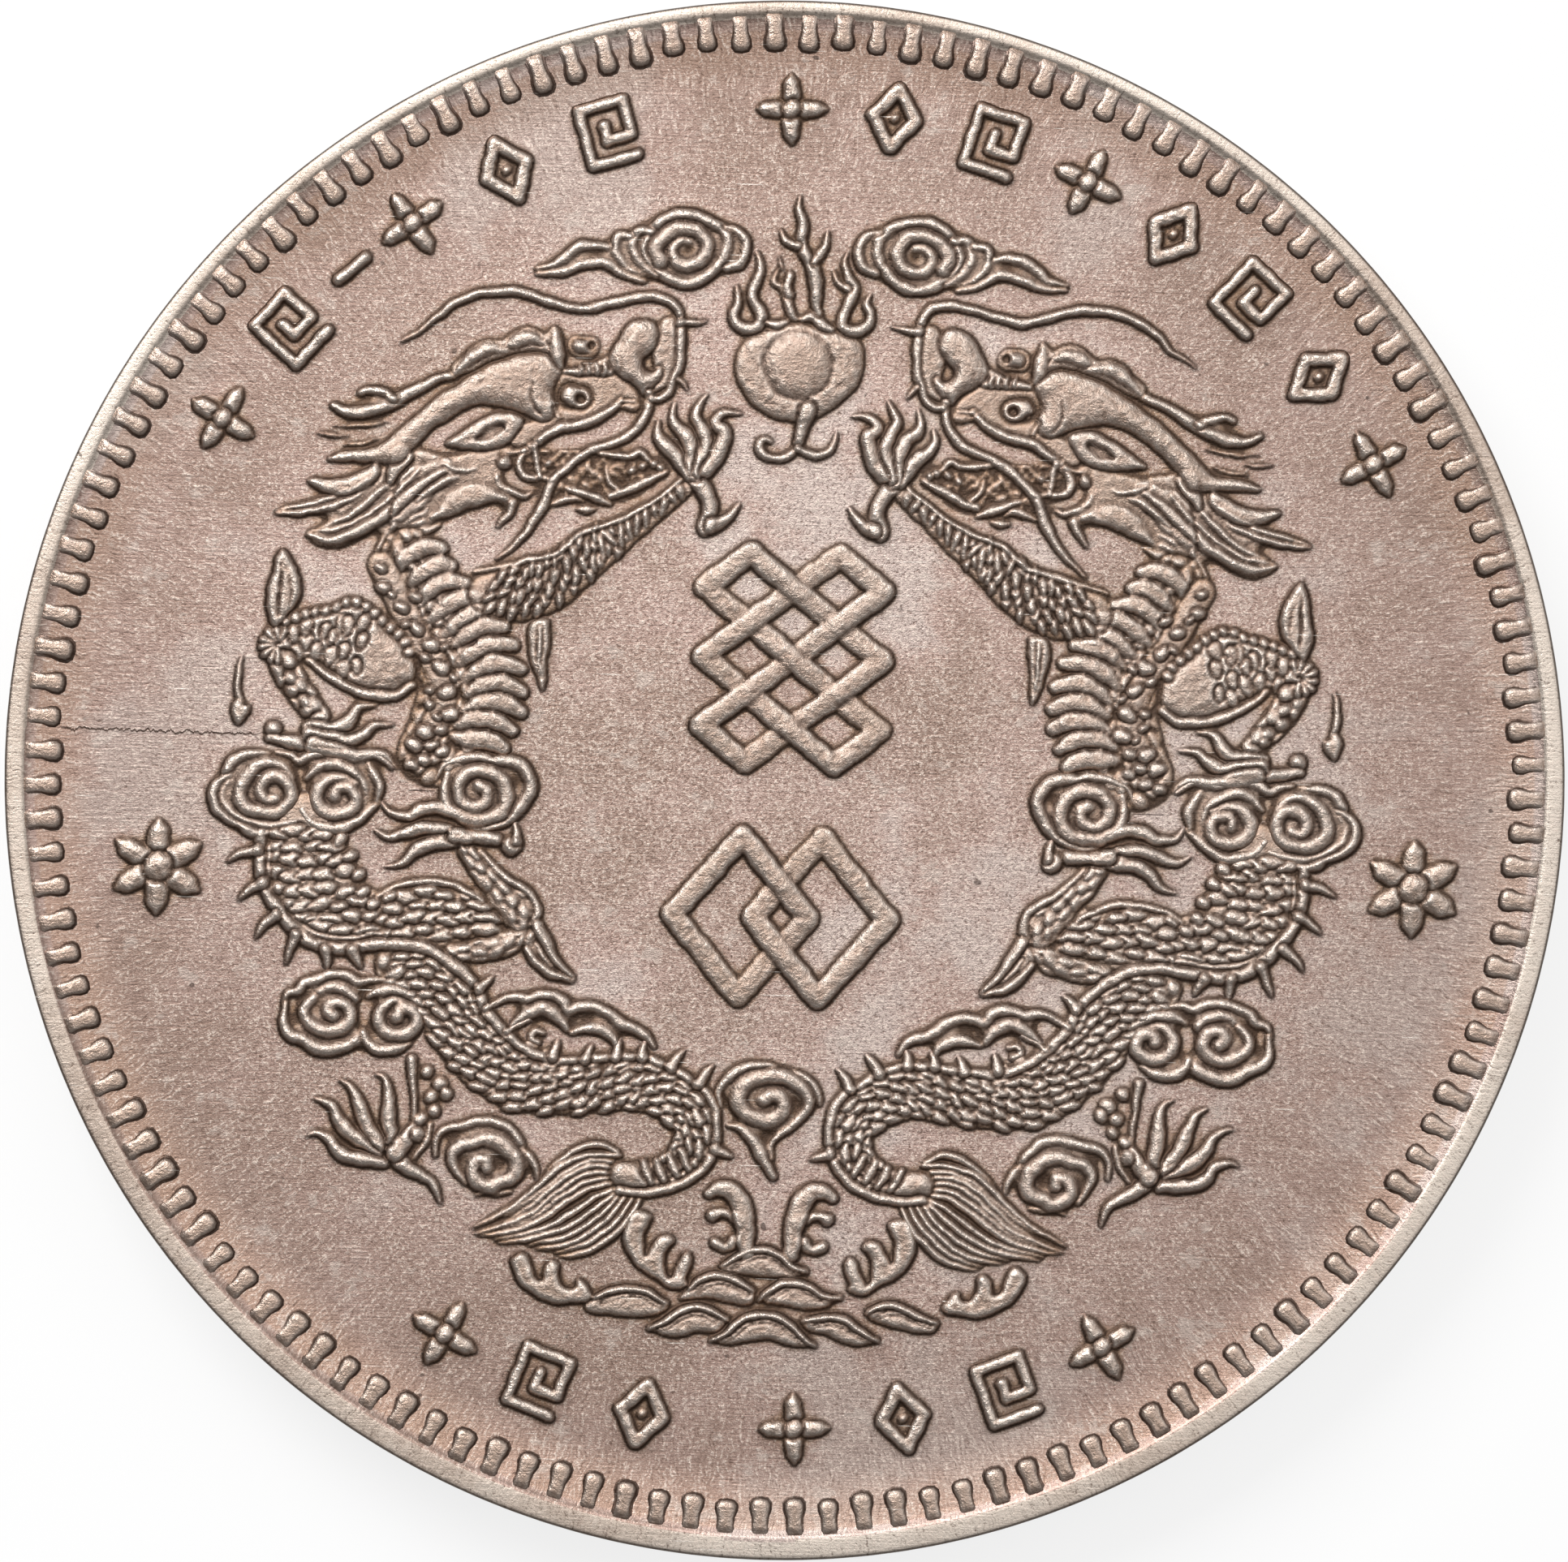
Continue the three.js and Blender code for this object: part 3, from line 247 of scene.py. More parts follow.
def lay_floor():
    """A wide pale floor under the coin, a little brighter to the camera than to the light."""
    corners = [(FLOOR_HALF * x, FLOOR_HALF * y, 0) for x, y in ((-1, -1), (1, -1), (1, 1), (-1, 1))]
    mesh = bpy.data.meshes.new("floor")
    mesh.from_pydata(corners, [], [(0, 1, 2, 3)])
    floor = add_object("floor", mesh)
    paint = Paint("white_floor")
    paint.finish(Base_Color=(0.93, 0.93, 0.93, 1), Roughness=0.8)
    rays = paint.node("LightPath").outputs
    seen = rays["Is Camera Ray"]
    for ray in ("Is Glossy Ray", "Is Transmission Ray"):
        seen = paint.maths("MAXIMUM", seen, rays[ray])
    links = {"Fac": paint.times(seen, FLOOR_GLOW), 1: paint.surface, 2: paint.node("Emission")}
    paint.put(paint.tree.nodes["Material Output"].inputs["Surface"], paint.node("MixShader", links))
    mesh.materials.append(paint.material)


set_camera()
set_world()
set_lamp()
lay_floor()

bpy.context.scene.view_settings.view_transform = "Standard"


# Silver


def tint(red, green, blue):
    """A display colour of 0 to 255 as the shader's linear colour."""
    parts = []
    for value in (red, green, blue):
        share = value / 255
        parts.append(share / 12.92 if share <= 0.04045 else ((share + 0.055) / 1.055) ** 2.4)
    return (*parts, 1.0)


FIELD_SHADES = [tint(158, 134, 122), tint(168, 143, 132), tint(177, 151, 141), tint(188, 170, 162)]
RIM_SHADES = [tint(190, 172, 158), tint(206, 190, 176), tint(214, 200, 187), tint(222, 209, 196)]
SHADE_STOPS = (0.36, 0.46, 0.55, 0.66)
OUTER_TONE = tint(140, 116, 104)
BORDER_TONING_AND_LIGHT = tint(202, 162, 134)
PALE_GRAIN = tint(226, 209, 196)
DARK_GRAIN = tint(102, 80, 68)
BRIGHT_PATCH = tint(196, 182, 172)
SPECK_TONE = tint(70, 58, 52)
STAIN_TONE = tint(160, 124, 82)
RAISED_TONE = tint(165, 143, 127)
HOLLOW_TONING_AND_SHADE = tint(54, 38, 29)
WEAR_AND_HIGHLIGHT_TONE = tint(236, 226, 216)
CRACK_TONE = tint(62, 44, 34)


def toned_silver(name, shades, roughness, cracked=True):
    """Worn silver: toned fields with flow lines, browner raised work, toning with painted shade in hollows,
    wear with painted highlight on crests.
    """
    paint = Paint(name)
    metres = paint.node("TexCoord").outputs["Object"]
    place = paint.node("VectorMath", {0: metres, "Scale": 1 / MM}, operation="SCALE").outputs[0]
    x, y, z = paint.node("SeparateXYZ", {0: place}).outputs
    turn = paint.maths("ARCTAN2", y, x)
    radius = paint.node("VectorMath", {0: place}, operation="LENGTH").outputs["Value"]

    # The field's slow changes of tone
    clouds = paint.minus(paint.noise(place, 0.6, 5.0, 0.66), 0.5)
    tone = paint.plus(paint.noise(place, 0.16, 2.0, 0.5), paint.times(clouds, 0.55))
    paint.start(tone, SHADE_STOPS, shades)
    inside = paint.spread(radius, 20.0, 19.9)
    paint.cover(paint.times(paint.spread(radius, 12.5, 16.5, 0.0, 0.4), inside), OUTER_TONE)
    # A lighter, warmer band before the rim: warm toning together with painted light of the bright zone near
    # the rim
    paint.cover(paint.times(paint.spread(radius, 18.2, 19.7, 0.0, 0.25), inside), BORDER_TONING_AND_LIGHT)

    # Grain, which runs outwards in flow lines near the rim
    grain = paint.noise(place, 13.0, 3.0, 0.8)
    sway = paint.times(paint.noise(place, 2.2, 1.0, 0.5), 5.0)
    spokes = {0: paint.plus(paint.times(turn, 260.0), sway), 1: paint.times(radius, 1.4)}
    flow = paint.noise(paint.node("CombineXYZ", spokes).outputs[0], 1.0, 2.0, 0.6)
    both = paint.plus(paint.times(grain, 0.6), paint.times(flow, 0.4))
    near_rim = paint.spread(radius, 13.0, 19.4)
    speckle = paint.node("Mix", {0: near_rim, 2: grain, 3: both}, data_type="FLOAT").outputs[0]
    paint.cover(paint.spread(speckle, 0.5, 0.66, 0.0, 0.9), PALE_GRAIN)
    paint.cover(paint.spread(speckle, 0.48, 0.32, 0.0, 0.85), DARK_GRAIN)
    patches = paint.noise(paint.turned(place, 0.0, (1, 1.3, 1)), 0.9, 4.0, 0.75)
    paint.cover(paint.spread(patches, 0.57, 0.67, 0.0, 0.45), BRIGHT_PATCH)
    paint.cover(paint.spread(paint.noise(place, 2.6, 1.0, 0.5), 0.77, 0.82, 0.0, 0.7), SPECK_TONE)

    # What the relief's height says: stain beside it, brown on it, toning and painted shade in hollows, wear
    # and painted highlight on crests
    paint.cover(paint.shade("stain", 0.5), STAIN_TONE)
    paint.cover(paint.shade("raised", 0.7), RAISED_TONE)
    # Hollows: dark toning together with painted shade, the dark outlines that creases and steep walls show
    # under light
    paint.cover(paint.shade("hollow", 0.9), HOLLOW_TONING_AND_SHADE)
    # Crests: rubbed wear together with painted highlight along ridges and round the denticles' tips
    paint.cover(paint.shade("crest", 0.45), WEAR_AND_HIGHLIGHT_TONE)

    # Scratches, the crack, and the fine unevenness of the surface
    scratch = paint.noise(paint.turned(place, 1.1, (0.6, 15, 1)), 1.0, 1.0, 0.5)
    paint.cover(paint.spread(scratch, 0.75, 0.78, 0.0, 0.6), WEAR_AND_HIGHLIGHT_TONE)
    crack = paint.crack(x, y) if cracked else 0.0
    paint.cover(crack, CRACK_TONE)
    hairline = paint.noise(paint.turned(place, 0.9, (0.5, 16, 1)), 1.0, 2.0, 0.6)
    fine = paint.plus(paint.times(speckle, 0.9), paint.times(hairline, 0.25))
    folds = paint.maths("ABSOLUTE", paint.minus(paint.noise(place, 4.5, 3.0, 0.6), 0.5))
    dents = paint.times(folds, paint.shade("raised", 2.2))
    height = paint.minus(paint.plus(fine, dents), crack)
    worn = paint.spread(speckle, 0.3, 0.7, roughness - 0.06, roughness + 0.08)
    return paint.finish(
        Base_Color=paint.colour,
        Roughness=paint.minus(worn, paint.shade("crest", 0.06)),
        Normal=paint.node("Bump", {"Height": height, "Strength": 0.7, "Distance": BUMP_DEPTH}),
        Metallic=0.85,
    )


relief_silver = toned_silver("relief_silver", FIELD_SHADES, 0.35)
rim_silver = toned_silver("rim_silver", RIM_SHADES, 0.42)
back_silver = toned_silver("back_silver", FIELD_SHADES, 0.4, cracked=False)


# Cutting relief


def span(axis, low, high):
    """The part of a rising axis between two values."""
    return slice(*np.searchsorted(axis, (low, high)))


def square(ys, xs, x, y, reach):
    """The rows and columns within reach of a place."""
    return span(ys, y - reach, y + reach), span(xs, x - reach, x + reach)


def pairs(points):
    """Places as rows of x and y, also where they are written flat: x, y, x, y."""
    return np.array(points, float).reshape(-1, 2)


def smooth(points, closed=False):
    """An even, dense route that runs smoothly through the points."""
    corners = pairs(points)
    if len(corners) == 2 and not closed:
        dense = corners
    else:
        if closed:
            around = np.vstack([corners[-1:], corners, corners[:2]])
        else:
            around = np.vstack([2 * corners[0] - corners[1], corners, 2 * corners[-1] - corners[-2]])
        a, b, c, d = around[:-3, None], around[1:-2, None], around[2:-1, None], around[3:, None]
        t = np.linspace(0, 1, 16, endpoint=False)[None, :, None]
        curve = b + 0.5 * t * (c - a + t * (2 * a - 5 * b + 4 * c - d + t * (3 * (b - c) + d - a)))
        dense = np.vstack([curve.reshape(-1, 2), corners[:1] if closed else corners[-1:]])
    steps = np.hypot(*np.diff(dense, axis=0).T)
    along = np.concatenate([[0], np.cumsum(steps)])
    wanted = np.linspace(0, along[-1], max(3, int(along[-1] / BRUSH_STEP)))
    return np.stack([np.interp(wanted, along, dense[:, 0]), np.interp(wanted, along, dense[:, 1])], axis=1)


def straight(corners):
    """A closed outline with sharp corners, sampled closely."""
    parts = []
    for start, end in zip(corners, np.roll(corners, -1, axis=0)):
        count = max(2, int(np.hypot(*(end - start)) / BRUSH_STEP))
        parts.append(start + (end - start) * np.linspace(0, 1, count, endpoint=False)[:, None])
    return np.vstack(parts)


def spread_along(values, count):
    """One value, or several spread evenly, at each of count places."""
    values = np.atleast_1d(np.array(values, float))
    return np.interp(np.linspace(0, 1, count), np.linspace(0, 1, len(values)), values)


def headings(route):
    """The direction of a route at each of its places."""
    aim = np.gradient(route, axis=0)
    return aim / np.hypot(*aim.T)[:, None]


def blur(values, radius):
    """A soft average over a radius in millimetres."""
    sigma = radius / GRID
    reach = int(math.ceil(2.5 * sigma))
    weights = np.exp(-0.5 * (np.arange(-reach, reach + 1) / sigma) ** 2)
    weights /= weights.sum()
    for axis in (0, 1):
        padded = np.pad(values, [(reach, reach) if side == axis else (0, 0) for side in (0, 1)], mode="edge")
        total = np.zeros_like(values)
        for shift, weight in enumerate(weights):
            piece = [slice(None), slice(None)]
            piece[axis] = slice(shift, shift + values.shape[axis])
            total += weight * padded[tuple(piece)]
        values = total
    return values


def ease(value, low, high):
    """0 below low, 1 above high, and smooth between."""
    share = np.clip((value - low) / (high - low), 0, 1)
    return share * share * (3 - 2 * share)


def within(ys, xs, outline):
    """Which grid points lie inside an outline."""
    ys = ys[:, None]
    inside = np.zeros((len(ys), len(xs)), bool)
    for (x0, y0), (x1, y1) in zip(outline, np.roll(outline, -1, axis=0)):
        if y0 != y1:
            inside ^= ((y0 > ys) != (y1 > ys)) & (xs < (x1 - x0) * (ys - y0) / (y1 - y0) + x0)
    return inside


class Relief:
    """A patch of the die: heights above the field on a fine grid, cut stroke by stroke."""

    def __init__(self, low, high):
        self.x = np.arange(low[0] - MARGIN, high[0] + MARGIN, GRID)
        self.y = np.arange(low[1] - MARGIN, high[1] + MARGIN, GRID)
        self.height = np.zeros((len(self.y), len(self.x)))
        self.random = np.random.default_rng(7)

    def window(self, route, reach):
        """The part of the grid within reach of a route, and its two axes."""
        low, high = route.min(axis=0) - reach, route.max(axis=0) + reach
        rows, columns = span(self.y, low[1], high[1]), span(self.x, low[0], high[0])
        return (rows, columns), self.y[rows], self.x[columns]

    def brush(self, route, half, top, crown=0.6):
        """The distance outside a round brush that runs along a route, and its domed height."""
        window, ys, xs = self.window(route, half.max() + MOAT)
        edge = np.full((len(ys), len(xs)), 9.0)
        dome = np.zeros_like(edge)
        for (x, y), w, t in zip(route, half, top):
            here = square(ys, xs, x, y, w + MOAT)
            gap = np.hypot(ys[here[0], None] - y, xs[None, here[1]] - x)
            edge[here] = np.minimum(edge[here], gap - w)
            dome[here] = np.maximum(dome[here], t * np.clip(1 - (gap / w) ** 2, 0, 1) ** crown)
        return window, edge, dome

    def press(self, window, edge, dome, carry=0.45, moat=MOAT, sink=0.25):
        """Lays a form over what is there, with a groove cut round it."""
        under = self.height[window]
        outside = sink + (1 - sink) * ease(edge, 0, moat)
        self.height[window] = np.where(edge < 0, np.maximum(dome, 0.001) + carry * under, under * outside)

    def strand(self, points, half=0.12, top=None, carry=0.45, closed=False, moat=MOAT, sink=0.25, crown=0.6):
        """A rounded ridge, as of hair, a whisker or the line of a cloud."""
        route = smooth(points, closed)
        half = np.maximum(spread_along(half, len(route)), 0.012)
        if top is None:
            top = np.minimum(0.03 + 0.75 * half, 0.19)
        top = spread_along(top, len(route))
        self.press(*self.brush(route, half, top, crown), carry, moat, sink)

    def strands(self, routes, half=0.12, **how):
        """Several ridges of one kind."""
        for points in routes:
            self.strand(points, half, **how)

    def bar(self, route, half):
        """A flat-topped bar along a route, as in the border ornaments."""
        count = len(route)
        self.press(*self.brush(route, np.full(count, half), np.full(count, ORNAMENT_TOP), 0.22), carry=0)

    def ball(self, centre, radius, top=None, **how):
        """A round knob."""
        here = np.array(centre, float)
        self.strand([here - 0.01, here + 0.01], radius, top, **how)

    def leaf(self, outline, top=0.14, bevel=0.3, carry=0.3):
        """A low form with a rounded edge inside an outline."""
        route = smooth(outline, closed=True)
        window, ys, xs = self.window(route, MOAT + GRID)
        inside = within(ys, xs, route)
        reach = max(bevel, MOAT) + GRID
        gap = np.full(inside.shape, reach)
        for x, y in route:
            here = square(ys, xs, x, y, reach)
            gap[here] = np.minimum(gap[here], np.hypot(ys[here[0], None] - y, xs[None, here[1]] - x))
        depth = np.clip(gap / bevel, 0, 1)
        dome = top * np.where(inside, (1 - (1 - depth) ** 2) ** 0.5, 0)
        self.press(window, np.where(inside, -gap, gap), dome, carry)

    def web(self, level, reach):
        """A low floor between ridges that stand close together."""
        close = blur((self.height > 0.02).astype(float), reach)
        self.height = np.maximum(self.height, level * ease(close, 0.42, 0.7))

    def scale_at(self, centre, length, width, turn=0.0, top=0.15):
        """One lens-shaped scale, higher at its free end."""
        along = np.array([math.cos(turn), math.sin(turn)])
        here = np.array(centre, float)
        line = [here + along * length * share for share in (-1, -0.3, 0.4, 1)]
        half = [0.03, 0.85 * width, width, 0.05]
        tops = [0.5 * top, 0.9 * top, top, 0.5 * top]
        self.strand(line, half, tops, carry=0.25, moat=0.05, sink=0.1, crown=0.45)

    def ovals(self, points, half, along, across, length, width, turn=0.0, top=0.15, wander=0.04):
        """Single raised scales in staggered rows along a band."""
        route = smooth(points)
        half = spread_along(half, len(route))
        aim = np.gradient(route, axis=0)
        step = int(along / BRUSH_STEP)
        for row, at in enumerate(range(step // 3, len(route), step)):
            angle = math.atan2(aim[at][1], aim[at][0])
            side = np.array([-math.sin(angle), math.cos(angle)])
            count = max(1, round(2 * half[at] / across))
            for column in range(count):
                off = ((column + 0.3 + 0.4 * (row % 2)) / count * 2 - 1) * half[at]
                here = route[at] + side * off + self.random.normal(0, wander, 2)
                size = self.random.uniform(0.85, 1.12)
                tilt = angle + turn + self.random.normal(0, 0.1)
                self.scale_at(here, length * size, width * size, tilt, top)

    def pit(self, centre, radius, depth):
        """A round hollow."""
        window, ys, xs = self.window(np.array([centre], float), 2 * radius)
        gap = np.hypot(ys[:, None] - centre[1], xs[None, :] - centre[0])
        self.height[window] -= depth * np.exp(-((gap / radius) ** 4)) * (self.height[window] > depth * 0.5)

    def groove(self, points, half, depth):
        """A cut line in what is there."""
        route = smooth(points)
        window, edge, dome = self.brush(route, spread_along(half, len(route)), np.ones(len(route)))
        self.height[window] *= 1 - dome * np.clip(depth / np.maximum(self.height[window], depth), 0, 1)

    def lobes(self, window, places):
        """A pattern of overlapping lobes: each has a centre, direction, half length and half width."""
        ys, xs = self.y[window[0]], self.x[window[1]]
        pattern = np.zeros((len(ys), len(xs)))
        for (x, y), turn, length, width in places:
            here = square(ys, xs, x, y, max(length, width) * 1.05)
            dx, dy = xs[None, here[1]] - x, ys[here[0], None] - y
            u = (dx * math.cos(turn) + dy * math.sin(turn)) / length
            v = (dy * math.cos(turn) - dx * math.sin(turn)) / width
            swell = np.clip(1 - np.abs(u) ** 2.4 - v * v, 0, 1) ** 0.5 * (0.85 + 0.4 * u)
            pattern[here] = np.maximum(pattern[here], swell)
        return pattern

    def plates(self, points, half, pitch, lean):
        """Narrow plates that cross a limb from side to side."""
        route = smooth(points)
        half = spread_along(half, len(route))
        aim = headings(route)
        step = int(pitch / BRUSH_STEP)
        for at in range(step // 2, len(route), step):
            side = np.array([-aim[at][1], aim[at][0]]) * half[at] * 0.85
            tilt, size = self.random.normal(lean, 0.12), self.random.normal(1, 0.12)
            line = [route[at] - side - aim[at] * tilt, route[at], route[at] + side + aim[at] * tilt]
            width = np.array([0.25, 0.42, 0.3]) * pitch * size
            self.strand(line, width, top=[0.5 * 0.17, 0.17, 0.6 * 0.17], carry=0, moat=0.05)

    def scales(self, points, half, top=0.17, pitch=0.5, across=0.42, lean=0.0, turn=0.0, low=0.42,
               wander=1.0):
        """A round body covered with rows of lobed scales."""
        route = smooth(points)
        half, pitch, across = (spread_along(values, len(route)) for values in (half, pitch, across))
        window, edge, dome = self.brush(route, half, spread_along(top, len(route)), 0.5)
        aim = headings(route)
        length = len(route) * BRUSH_STEP
        places = []
        along, row = -0.8 * half[0], 0
        while along < length + 0.8 * half[-1]:
            at = int(np.clip(along / BRUSH_STEP, 0, len(route) - 1))
            past = along - np.clip(along, 0, length)
            side = np.array([-aim[at][1], aim[at][0]])
            angle = math.atan2(aim[at][1], aim[at][0]) + turn
            count = max(2, round(2 * half[at] / across[at]))
            for column in range(count + 1):
                shift = ((column - 0.5 * (row % 2)) / count * 2 - 1) * half[at]
                slip, slide, swell = self.random.normal(0, 0.035 * wander, 3)
                centre = route[at] + side * (shift + 0.5 * slide)
                centre += aim[at] * (past + lean * shift + slip)
                size = 1 + swell * 2
                lengths = (pitch[at] * 0.6 * size, half[at] / count * 0.93 * size)
                places.append((centre, angle + slide * 4, *lengths))
            along += pitch[at]
            row += 1
        self.press(window, edge, dome * (low + (1 - low) * self.lobes(window, places)), 0.2)

    def rough(self, outline, amount, grain):
        """A rough, uneven floor inside an outline."""
        corners = pairs(outline)
        window, ys, xs = self.window(corners, 0)
        inside = within(ys, xs, corners)
        level = blur(inside.astype(float), 0.08) * (amount + self.lumps(inside.shape, grain) * amount)
        self.height[window] = np.maximum(self.height[window], level)

    def lumps(self, shape, grain):
        """Soft random swellings with a spread of one."""
        swell = blur(self.random.normal(0, 1, shape), grain)
        return swell / max(swell.std(), 1e-6)

    def worn(self):
        """The heights with outlines that waver as hand-cut ones do, and small facets on what stands up."""
        shape = rows, columns = self.height.shape
        y = np.clip(np.arange(rows)[:, None] + self.lumps(shape, 0.12) * WAVER / GRID, 0, rows - 1.01)
        x = np.clip(np.arange(columns) + self.lumps(shape, 0.12) * WAVER / GRID, 0, columns - 1.01)
        i, j = y.astype(int), x.astype(int)
        v, u = y - i, x - j
        low = self.height[i, j] * (1 - u) + self.height[i, j + 1] * u
        high = self.height[i + 1, j] * (1 - u) + self.height[i + 1, j + 1] * u
        moved = low * (1 - v) + high * v
        facets = self.lumps(shape, 0.055) * WAVER * 0.5
        return np.maximum(moved + facets * ease(moved, 0.03, 0.1), 0)


def boundary_of(cells):
    """The grid edges round the kept cells, each with the cells on its left, as pairs of corner indices."""
    width = cells.shape[1] + 1
    near = np.pad(cells, 1)
    edges = []
    sides = (
        (near[:-2, 1:-1], 0, 1),
        (near[2:, 1:-1], width + 1, width),
        (near[1:-1, :-2], width, 0),
        (near[1:-1, 2:], 1, width + 1),
    )
    for beside, start, end in sides:
        i, j = np.nonzero(cells & ~beside)
        edges.append(np.stack([i * width + j + start, i * width + j + end], 1))
    return np.vstack(edges)


def without_pinches(cells):
    """Fills cells until no two of them touch at a corner only."""
    while True:
        a, b, c, d = cells[:-1, :-1], cells[:-1, 1:], cells[1:, :-1], cells[1:, 1:]
        rising = a & d & ~b & ~c
        falling = b & c & ~a & ~d
        if not rising.any() and not falling.any():
            return cells
        cells = cells.copy()
        cells[:-1, 1:] |= rising
        cells[:-1, :-1] |= falling


def floor_faces(rim, edges, cells, width):
    """Triangles that close the underside, joining the boundary corners only."""
    order = {corner: place for place, corner in enumerate(rim)}
    spots = [Vector((float(corner % width), float(corner // width))) for corner in rim]
    found = delaunay_2d_cdt(spots, [(order[a], order[b]) for a, b in edges], [], 0, 1e-4)
    corners = np.array([tuple(spot) for spot in found[0]])
    same = {(round(spot.x), round(spot.y)): place for place, spot in enumerate(spots)}
    kept = []
    for face in found[2]:
        middle = corners[list(face)].mean(axis=0)
        if cells[int(middle[1]), int(middle[0])]:
            kept.append([same[(round(corners[k][0]), round(corners[k][1]))] for k in face])
    return kept


def shaded_mesh(name, points, faces, **shades):
    """A smooth mesh from places in millimetres, with a value of each shade at each vertex."""
    mesh = bpy.data.meshes.new(name)
    mesh.from_pydata((np.array(points) * MM).tolist(), [], faces)
    mesh.validate()
    mesh.shade_smooth()
    for label, values in shades.items():
        held = mesh.attributes.new(label, "FLOAT", "POINT")
        held.data.foreach_set("value", np.array(values, np.float32))
    return mesh


def struck_mesh(relief, name, field, facing, mirrored):
    """A closed mesh of a relief patch on a field, with where it is hollow (toning and painted shade), crested
    (wear and painted highlight), raised and stained.
    """
    height = relief.worn()
    drawn = (height > 0.0005).astype(float)
    high = np.where(height > TOP_KNEE, TOP_KNEE + 0.05 * np.tanh((height - TOP_KNEE) / 0.05), height)
    near, wide, soft = blur(drawn, 0.06), blur(drawn, 0.17), blur(high, 0.026)
    lift = SHEET_LIFT * ease(wide, 0.02, 0.3) + SHEET_EDGE * 1.5 * (1 - ease(wide, 0.0, 0.03))
    sheet = soft + lift
    rise = soft - blur(high, 0.075)
    # The foot: painted shade on the field round the base of the relief
    foot = ease(near, 0.12, 0.5) * (1 - ease(soft, 0.0, 0.05))
    shades = {
        # hollow: toning and painted shade in creases and round the foot of the relief
        "hollow": np.clip(np.maximum(-rise / 0.022, 0) + foot, 0, 1),
        # crest: rubbed wear and painted highlight along the ridges
        "crest": np.clip(rise / 0.02, 0, 1) * ease(soft, 0.03, 0.1),
        "stain": ease(wide, 0.1, 0.7) * (1 - ease(soft, 0.02, 0.1)),
        "raised": ease(soft, 0.02, 0.08),
    }
    kept = sheet > SHEET_EDGE
    cells = without_pinches(kept[:-1, :-1] & kept[:-1, 1:] & kept[1:, :-1] & kept[1:, 1:])
    width = cells.shape[1] + 1
    i, j = np.nonzero(cells)
    first = i * width + j
    tops = np.stack([first, first + 1, first + width + 1, first + width], 1)
    edges = boundary_of(cells)
    rim, used = np.unique(edges), np.unique(tops)
    number, under = np.full(sheet.size, -1), np.full(sheet.size, -1)
    number[used] = np.arange(len(used))
    under[rim] = len(used) + np.arange(len(rim))
    both = np.concatenate([used, rim])
    levels = np.concatenate([sheet.ravel()[used], np.full(len(rim), SHEET_BOTTOM)])
    side = -1 if mirrored else 1
    points = np.stack([side * relief.x[both % width], relief.y[both // width], field + facing * levels], 1)
    walls = np.stack([number[edges[:, 1]], number[edges[:, 0]], under[edges[:, 0]], under[edges[:, 1]]], 1)
    faces = number[tops].tolist() + walls.tolist()
    for face in floor_faces(rim.tolist(), edges.tolist(), cells, width):
        faces.append([len(used) + corner for corner in reversed(face)])
    if mirrored != (facing < 0):
        faces = [face[::-1] for face in faces]
    none = np.zeros(len(rim))
    shades = {label: np.concatenate([values.ravel()[used], none]) for label, values in shades.items()}
    return shaded_mesh(name, points, faces, **shades)


def strike(relief, node, field=DRAGON_FIELD, facing=1, mirrored=False, silver=relief_silver):
    """Turns a cut patch into a piece of the coin that stands for its CAD node."""
    name = node + "_relief"
    mesh = struck_mesh(relief, name, field, facing, mirrored)
    mesh.materials.append(silver)
    piece = add_object(name, mesh)
    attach(piece, "root")
    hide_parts(node)


# The dragons' heads, necks and forelegs


